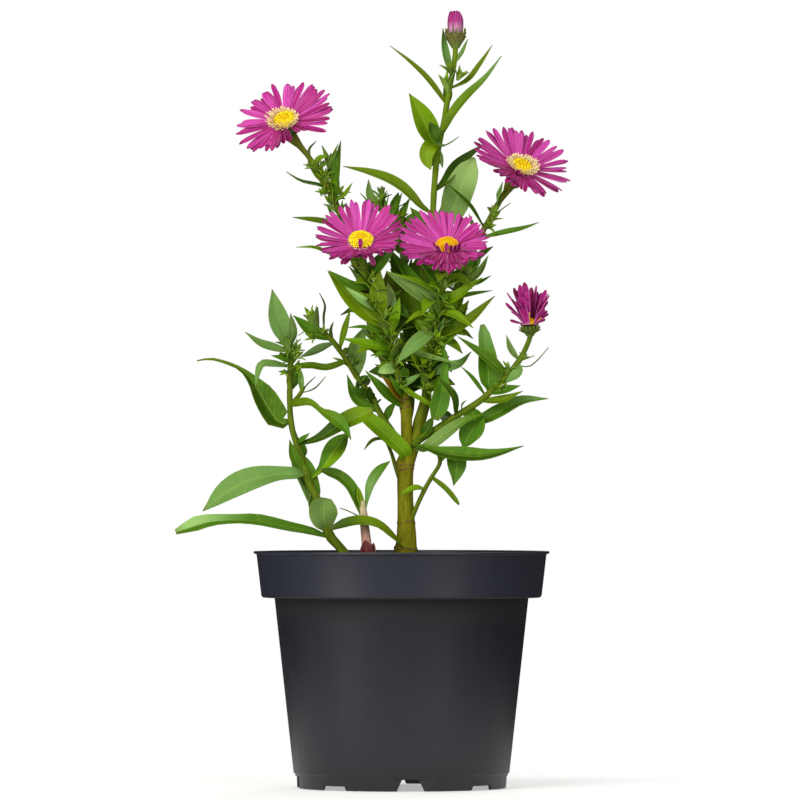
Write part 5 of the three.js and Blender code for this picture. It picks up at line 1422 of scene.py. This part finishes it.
def growDisc(name, flower):
    # the yellow middle: a dome set with small florets in a spiral, and pale threads round it
    chance = np.random.default_rng(flower["seed"] + 1)
    out, right, back = aroundAxis(flower["axis"])
    radius = flower["disc"]
    seat = np.array(flower["centre"], dtype=float) + out * 0.8
    florets = Bundle()
    dome = [(radius * 0.9, -0.5), (radius * 0.94, radius * 0.1), (radius * 0.78, radius * 0.26),
            (radius * 0.5, radius * 0.35), (radius * 0.12, radius * 0.39)]
    layRound(florets, seat, out, right, back, dome, discHabit["under"])
    count = int(discHabit["florets"] * (radius / discHabit["forRadius"]) ** 2)
    for k in range(count):
        share = math.sqrt((k + 0.5) / count)
        angle = discHabit["turn"] * k
        away = aside(right, back, angle)
        spot = seat + away * radius * 0.97 * share + out * radius * 0.4 * (1 - share ** 2.2)
        lean = unit(out + away * (0.75 * share ** 2 + 0.1 * (chance.random() - 0.5)))
        isOpen = share > discHabit["opened"] + 0.12 * (chance.random() - 0.5)
        shape = masters["openFloret" if isOpen else "closedFloret"]
        x, y, z = shape["points"].T
        first = unit(np.cross(lean, right + 0.3 * back))
        second = np.cross(lean, first)
        size = discHabit["wide"] * (0.85 + 0.25 * chance.random())
        tall = discHabit["tall"] * (0.8 + 0.4 * chance.random()) * (1 if isOpen else 0.75)
        points = (spot + first * (x * size)[:, None] + second * (y * size)[:, None]
                  + lean * ((z - 0.4) * tall)[:, None])
        kind = ("goldOpen" if "golden" in flower else "open") if isOpen else "closed"
        hue = np.array(discHabit[kind]) * (0.88 + 0.12 * chance.random())
        florets.add(points, shape["faces"], np.stack([0 * z, z / 1.3, 0 * z], 1), hue)
    thread = masters["thread"]
    x, y, z = thread["points"].T
    count, long = flower["fringe"]
    for k in range(count):
        angle = 2 * math.pi * (k + chance.random()) / count
        away = aside(right, back, angle)
        start = seat + away * (radius * (0.84 + 0.26 * chance.random())) - out * 0.3
        aim = unit(away * (0.2 + 1.1 * chance.random()) + out)
        first = unit(np.cross(aim, out + 0.1 * right))
        second = np.cross(aim, first)
        swept = np.dot(flower.get("swept", [0, 0]), [math.cos(angle), math.sin(angle)])
        tall = long * (0.65 + 0.5 * chance.random()) * (1 + 0.8 * swept)
        points = (start + first * (x * discHabit["thread"])[:, None]
                  + second * (y * discHabit["thread"])[:, None] + aim * (z * tall)[:, None])
        low, high = np.array(discHabit["threadRoot"]), np.array(discHabit["cream"])
        if "golden" in flower:
            low, high = np.array(discHabit["goldThread"]), np.array(discHabit["goldOpen"])
        hue = low + (high - low) * np.clip(z * 1.8 - 0.3, 0, 1)[:, None]
        florets.add(points, thread["faces"], np.stack([0 * z, 0.7 + 0 * z, 0 * z], 1), hue)
    florets.piece(f"{name}_florets", [pollen], "disc_florets", [f"{name}_disc"], 0, 40)


for seed, (name, shoot) in enumerate(shoots.items()):
    stems = Bundle()
    leaves = Bundle()
    grown = leaning(shoot)
    growShoot(stems, leaves, grown, np.random.default_rng(100 + seed))
    slot = "woody_stem" if name == "main_stem" else "leaf"
    stems.piece(f"{name}_stalks", [stemSkin], slot, [name])
    leaves.piece(f"{name}_leaves", [leafTop, leafUnder], "leaf", [name], leafHabit["thick"], 60)
    if "flower" in grown:
        growRays(shoot["flower"], grown["flower"])
        if "disc" in grown["flower"]:
            growDisc(shoot["flower"], grown["flower"])
print("stage: plant grown")


pot = {
    "lip": 65.0, "lipTop": 103.8, "lipThick": 1.0, "collarTop": 63.7, "collarLow": 61.6,
    "collarBottom": 83.5, "bodyTop": 55.8, "bodyLow": 47.4, "footTop": 6.2, "foot": 46.3,
    "wall": 1.2, "floorTop": 6.4, "floorThick": 1.4, "steps": 144, "notchTurn": 5,
}


def spinProfile(profile, steps):
    # one point drawn out along the profile and spun about the pot's axis
    startShape("plane", size=0.001)
    bpy.ops.mesh.merge(type="CENTER")
    bpy.ops.transform.translate(value=(profile[0][0] * mm, 0, profile[0][1] * mm))
    here = profile[0]
    for spot in profile[1:]:
        move = ((spot[0] - here[0]) * mm, 0, (spot[1] - here[1]) * mm)
        bpy.ops.mesh.extrude_region_move(TRANSFORM_OT_translate={"value": move})
        here = spot
    bpy.ops.mesh.select_all(action="SELECT")
    bpy.ops.mesh.spin(steps=steps, angle=2 * math.pi, center=(0, 0, 0), axis=(0, 0, 1))
    bpy.ops.mesh.select_all(action="SELECT")
    bpy.ops.mesh.remove_doubles(threshold=0.00002)
    bpy.ops.mesh.normals_make_consistent(inside=False)
    bpy.ops.object.mode_set(mode="OBJECT")
    return bpy.context.object


def settle(piece):
    # moves a turned piece onto the pot's axis, its place baked into its mesh
    activate(piece)
    piece.location.x = potAxisX * mm
    bpy.ops.object.transform_apply(location=True, rotation=True, scale=True)


def notch(turn, wide, deep, tall, y, z, narrow=1.0):
    # a cutter for the pot's foot, narrower at its top where asked
    startShape("cube", size=1, location=(0, 0, 0))
    bpy.ops.transform.resize(value=(wide * mm, deep * mm, tall * mm))
    pick("faces", lambda _, normal: normal.z > 0.9)
    bpy.ops.transform.resize(value=(narrow, 1, 1))
    bpy.ops.mesh.select_all(action="SELECT")
    bpy.ops.transform.translate(value=(0, y * mm, z * mm))
    bpy.ops.object.mode_set(mode="OBJECT")
    cutter = bpy.context.object
    cutter.rotation_euler.z = math.radians(turn)
    bpy.ops.object.transform_apply(location=True, rotation=True, scale=True)
    return cutter


def carve(piece, cutters):
    # takes all the cutters out of a piece
    activate(cutters[0])
    for cutter in cutters:
        cutter.select_set(True)
    bpy.ops.object.join()
    tool = bpy.context.object
    applyModifier(piece, "BOOLEAN", operation="DIFFERENCE", solver="EXACT", use_self=True, object=tool)
    bpy.data.objects.remove(tool, do_unlink=True)


def makePot():
    # the pot's wall, spun from the middle of its floor round to the inside
    inside = pot["foot"] - 1.7
    wall = pot["wall"]
    profile = [
        (0, pot["floorTop"] - pot["floorThick"]), (inside, pot["floorTop"] - pot["floorThick"]),
        (inside, 0), (pot["foot"] - 0.4, 0), (pot["foot"] + 0.5, pot["footTop"]),
        (pot["bodyLow"], pot["footTop"] + 0.4), (pot["bodyTop"], pot["collarBottom"]),
        (pot["collarLow"] - 0.7, pot["collarBottom"]), (pot["collarLow"], pot["collarBottom"] + 0.9),
        (pot["collarTop"], pot["lipTop"] - pot["lipThick"] - 0.3),
        (pot["lip"], pot["lipTop"] - pot["lipThick"]), (pot["lip"], pot["lipTop"]),
        (pot["collarTop"] - wall - 0.2, pot["lipTop"]),
        (pot["collarLow"] - wall, pot["collarBottom"] + wall + 0.2),
        (pot["bodyTop"] - wall, pot["collarBottom"] + wall), (pot["bodyLow"] - wall, pot["floorTop"]),
        (0, pot["floorTop"]),
    ]
    shell = spinProfile(profile, pot["steps"])
    shell.name = "pot_shell"
    applyModifier(shell, "BEVEL", width=0.28 * mm, segments=2, limit_method="ANGLE",
                  angle_limit=math.radians(28))
    cutters = []
    for quarter in range(4):
        turn = pot["notchTurn"] + 90 * quarter
        cutters.append(notch(turn, 21, 2, 6, -pot["foot"] - 0.1, 2.4))
        cutters.append(notch(turn, 13, 8, 6, -pot["foot"] + 2, 2, 0.58))
        cutters.append(notch(turn, 8, 7, 6, -inside + 4.5, pot["floorTop"]))
        cutters.append(notch(turn + 45, 14, 8, 2.9, -pot["foot"] + 2, 0.45, 0.86))
    carve(shell, cutters)
    settle(shell)
    shell.data.materials.append(potFinish())
    finishPiece(shell, ["pot"], 0, 32)


# In the pot's colours, shade is the colour of the painted shadow under the collar and of the painted shade
# towards the foot, and collar is the lighter colour the collar is painted in, as if lit
potLooks = {
    "base": shown(19, 21, 31), "worn": shown(34, 36, 47), "dust": shown(50, 48, 48),
    "shade": shown(10, 11, 14), "collar": shown(46, 49, 61), "rough": 0.32, "mould": 0.1,
    "cloudy": 0.2, "scuffed": 0.18, "dusty": 0.12, "collarShadow": 0.9, "collarLight": 0.6, "dim": 0.5,
}
# Heights on the pot where its colour changes, in metres: where the dust and the painted shade at the foot
# end, and where the painted shadow under the collar and the collar painted lighter, as if lit, begin and
# end
potHeights = {
    "dustTop": 0.03, "footShadeTop": 0.02, "shadeStart": 0.068, "shadeFull": 0.083, "shadeEnd": 0.0836,
    "collar": 0.0842, "edge": 0.0848,
}


def potFinish():
    paint = Paint("pot_black_plastic", **{"Specular IOR Level": 0.45})
    spot = paint.place()
    x, y, z = paint.split(spot)
    around = paint.sum("ARCTAN2", y, x - potAxisX * mm)
    drawn = paint.noise(paint.join(around * 8, z * 6, 0), 1.4, 3)
    cloudy = paint.noise(spot, 26, 3)
    grain = paint.noise(spot, 1500, 2)
    scuffs = paint.noise(paint.stretch(spot, (60, 60, 700)), 1.0, 3)
    rings = paint.sum("SINE", z * 5200, 0)
    high = potHeights
    foot = paint.step(z, high["dustTop"], 0.0)
    worn = paint.step(cloudy, 0.42, 0.75) * potLooks["cloudy"]
    shade = paint.mix(worn, potLooks["base"], potLooks["worn"])
    shade = paint.mix(paint.step(scuffs, 0.62, 0.72) * potLooks["scuffed"], shade, potLooks["worn"])
    dusty = foot * paint.step(cloudy, 0.4, 0.7) * potLooks["dusty"]
    shade = paint.mix(dusty, shade, potLooks["dust"])
    # painted shadow: a darker band under the collar, darkest just below its edge
    under = (paint.step(z, high["shadeStart"], high["shadeFull"])
             * paint.step(z, high["collar"], high["shadeEnd"]))
    shade = paint.mix(under * potLooks["collarShadow"], shade, potLooks["shade"])
    # painted light: the collar above its lower edge is painted lighter, as if lit
    edge = paint.step(z, high["collar"], high["edge"]) * potLooks["collarLight"]
    shade = paint.mix(edge, shade, potLooks["collar"])
    # painted shade: the wall turns darker towards the foot, near the floor
    shade = paint.mix(paint.step(z, high["footShadeTop"], 0.0) * potLooks["dim"], shade, potLooks["shade"])
    gloss = potLooks["rough"] + 0.16 * drawn + 0.1 * cloudy + 0.3 * under
    relief = grain * 0.25 + drawn * 0.5 + rings * potLooks["mould"] * 0.3
    return paint.finish(shade, gloss, relief, depth=0.00012, strength=0.35)


makePot()
print("stage: pot turned")


soil = {
    "top": 94.0, "gap": 0.3, "rings": 16, "steps": 96, "crumbs": 420, "bark": 60, "grit": 34,
    "crumbSize": [1.0, 0.8, 0.7], "barkSize": [2.6, 0.9, 0.5], "gritSize": [0.8, 0.75, 0.7],
    "barkTone": shown(96, 64, 40), "gritTone": shown(205, 198, 184),
    "fine": shown(26, 19, 15), "fineShare": 0.6, "coarse": shown(84, 62, 44), "coarseShare": 0.35,
}
soilTones = [shown(52, 38, 28), shown(38, 28, 22), shown(72, 52, 36), shown(30, 23, 19)]


def soilHeight(x, y):
    # the uneven top of the soil
    lump = 1.1 * np.sin(0.21 * x + 1) * np.cos(0.17 * y) + 0.8 * np.sin(0.4 * x - 0.33 * y)
    return soil["top"] + lump + 0.35 * np.sin(1.1 * x + 0.7 * y) * np.cos(0.9 * y - 0.5 * x)


def soilFinish():
    paint = Paint("potting_compost", **{"Specular IOR Level": 0.2})
    colour, _ = paint.attribute("hue")
    fine = paint.noise(paint.place(), 1100, 5, 0.7)
    coarse = paint.noise(paint.place(), 260, 3)
    shade = paint.mix(paint.step(fine, 0.4, 0.65) * soil["fineShare"], colour, soil["fine"])
    shade = paint.mix(paint.step(coarse, 0.55, 0.7) * soil["coarseShare"], shade, soil["coarse"])
    return paint.finish(shade, 0.85 + 0.12 * fine, fine * 0.7 + coarse * 0.3, depth=0.0008, strength=0.8)


def makeSoil():
    # the soil's bed with its lumps, and loose crumbs, bark and grit over it
    gap = soil["gap"]
    under = pot["floorTop"] + gap
    slope = (pot["bodyTop"] - pot["bodyLow"]) / (pot["collarBottom"] - pot["footTop"])
    low = pot["bodyLow"] - pot["wall"] - gap
    ledge = low + slope * (pot["collarBottom"] - under) - 0.1
    rim = pot["collarLow"] - pot["wall"] - gap - 0.2
    ledgeTop = pot["collarBottom"] + pot["wall"] + 0.2 + gap
    profile = [(0, under), (low, under), (ledge, ledgeTop), (rim, ledgeTop),
               (rim + 0.5, soil["top"] - 1.2)]
    for k in range(soil["rings"]):
        profile.append((rim * (1 - (k + 0.3) / soil["rings"]), soil["top"]))
    profile.append((0, soil["top"]))
    bed = spinProfile(profile, soil["steps"])
    bed.name = "soil_bed"
    for corner in bed.data.vertices:
        if corner.co.z > (soil["top"] - 0.1) * mm:
            corner.co.z = soilHeight(corner.co.x / mm, corner.co.y / mm) * mm
    hue = bed.data.attributes.new("hue", "FLOAT_COLOR", "POINT")
    hue.data.foreach_set("color", np.tile([*soilTones[0], 1.0], len(bed.data.vertices)))
    settle(bed)
    compost = soilFinish()
    bed.data.materials.append(compost)
    finishPiece(bed, ["soil"], 0, 60)
    startShape("ico_sphere", subdivisions=1, radius=1)
    points, faces = takeShape()
    chance = np.random.default_rng(5)
    crumbs = Bundle()
    for k in range(soil["crumbs"] + soil["bark"] + soil["grit"]):
        bark = soil["crumbs"] <= k < soil["crumbs"] + soil["bark"]
        grit = k >= soil["crumbs"] + soil["bark"]
        radius = (rim - 2.5) * math.sqrt(chance.random())
        angle = 2 * math.pi * chance.random()
        x, y = radius * math.cos(angle), radius * math.sin(angle)
        size = np.array(soil["crumbSize"]) * (0.45 + 1.1 * chance.random() ** 2)
        if bark:
            size = np.array(soil["barkSize"]) * (0.7 + 0.6 * chance.random())
        if grit:
            size = np.array(soil["gritSize"]) * (0.6 + 0.5 * chance.random())
        turn = 2 * math.pi * chance.random()
        shape = points * size * (0.8 + 0.4 * chance.random(points.shape))
        turned = np.stack([shape[:, 0] * math.cos(turn) - shape[:, 1] * math.sin(turn),
                           shape[:, 0] * math.sin(turn) + shape[:, 1] * math.cos(turn), shape[:, 2]], 1)
        hue = np.array(soilTones[int(4 * chance.random())])
        if bark:
            hue = np.array(soil["barkTone"]) * (0.6 + 0.6 * chance.random())
        if grit:
            hue = np.array(soil["gritTone"])
        spot = [x, y, soilHeight(x, y) + 0.25 * size[2]]
        crumbs.add(turned + spot, faces, np.zeros(shape.shape), hue)
    crumbs.piece("soil_crumbs", [compost], "potting_soil", ["soil"], 0, 30)


makeSoil()
print("stage: soil filled")


setting = {
    "floor": 0.2, "floorGrey": 0.85, "floorGlow": 0.42, "sky": 0.34, "shine": 0.04, "lens": 368.8,
    "eye": (0.01174, -3.6, 0.138), "look": (0.01174, 0, 0.1702), "lit": (0.01, 0, 0.17),
    "lamps": {
        "key": [29, (-1.0, -2.0, 1.3), 0.9, 0.9], "fill": [9, (0.9, -2.1, 0.7), 1.2, 1.2],
        "left_strip": [12, (-1.27, -1.1, 0.2), 0.3, 1.5], "right_strip": [7, (1.0, -1.37, 0.2), 0.22, 1.5],
        "rim": [6, (0.3, 1.1, 1.3), 0.9, 0.9],
    },
}


def makeFloor():
    # a pale round floor that fades out to the white behind it
    startShape("circle", vertices=96, radius=setting["floor"], fill_type="NGON")
    bpy.ops.mesh.inset(thickness=0.1, depth=0)
    bpy.ops.object.mode_set(mode="OBJECT")
    floor = bpy.context.object
    floor.name = "pale_floor"
    floor.location.z = -0.0002
    bpy.ops.object.transform_apply(location=True)
    grey = setting["floorGrey"]
    paint = Paint("pale_floor", **{
        "Base Color": (grey, grey, grey, 1), "Roughness": 0.9, "Specular IOR Level": 0.1,
        "Emission Color": (1, 1, 1, 1), "Emission Strength": setting["floorGlow"]})
    x, y, _ = paint.split(paint.place())
    apart = paint.sum("SQRT", x * x + y * y, 0)
    fade = paint.step(apart, setting["floor"] * 0.98, setting["floor"] * 0.5)
    paint.material.node_tree.links.new(fade.socket, paint.shader.inputs["Alpha"])
    floor.data.materials.append(paint.material)


def addLight(name, power, place, wide, tall):
    lamp = bpy.data.lights.new(name, "AREA")
    lamp.energy = power
    lamp.shape = "RECTANGLE"
    lamp.size = wide
    lamp.size_y = tall
    lamp.color = (1, 0.97, 0.92)
    holder = bpy.data.objects.new(name, lamp)
    bpy.context.scene.collection.objects.link(holder)
    holder.location = place
    aim = Vector(setting["lit"]) - Vector(place)
    holder.rotation_euler = aim.to_track_quat("-Z", "Y").to_euler()


def makeStudio():
    # the camera sees a white room, and the plant is lit by a softer sky and the lamps
    scene = bpy.context.scene
    world = bpy.data.worlds.new("white_room")
    world.use_nodes = True
    nodes = world.node_tree.nodes
    links = world.node_tree.links
    seen = nodes.new("ShaderNodeBackground")
    seen.inputs["Color"].default_value = (1, 1, 1, 1)
    seen.inputs["Strength"].default_value = 1.0
    soft = nodes["Background"]
    soft.inputs["Color"].default_value = (1, 0.98, 0.95, 1)
    soft.inputs["Strength"].default_value = setting["sky"]
    dim = nodes.new("ShaderNodeBackground")
    dim.inputs["Strength"].default_value = setting["shine"]
    path = nodes.new("ShaderNodeLightPath")
    gloss = nodes.new("ShaderNodeMixShader")
    links.new(path.outputs["Is Glossy Ray"], gloss.inputs[0])
    links.new(soft.outputs[0], gloss.inputs[1])
    links.new(dim.outputs[0], gloss.inputs[2])
    blend = nodes.new("ShaderNodeMixShader")
    links.new(path.outputs["Is Camera Ray"], blend.inputs[0])
    links.new(gloss.outputs[0], blend.inputs[1])
    links.new(seen.outputs[0], blend.inputs[2])
    links.new(blend.outputs[0], nodes["World Output"].inputs["Surface"])
    scene.world = world
    scene.view_settings.view_transform = "Standard"
    for name, lamp in setting["lamps"].items():
        addLight(f"{name}_light", *lamp)
    lens = bpy.data.cameras.new("front_camera")
    lens.lens = setting["lens"]
    lens.sensor_width = 36
    lens.clip_end = 50
    camera = bpy.data.objects.new("front_camera", lens)
    scene.collection.objects.link(camera)
    camera.location = setting["eye"]
    aim = Vector(setting["look"]) - Vector(setting["eye"])
    camera.rotation_euler = aim.to_track_quat("-Z", "Y").to_euler()
    scene.camera = camera


makeFloor()
makeStudio()
print("stage: studio lit")
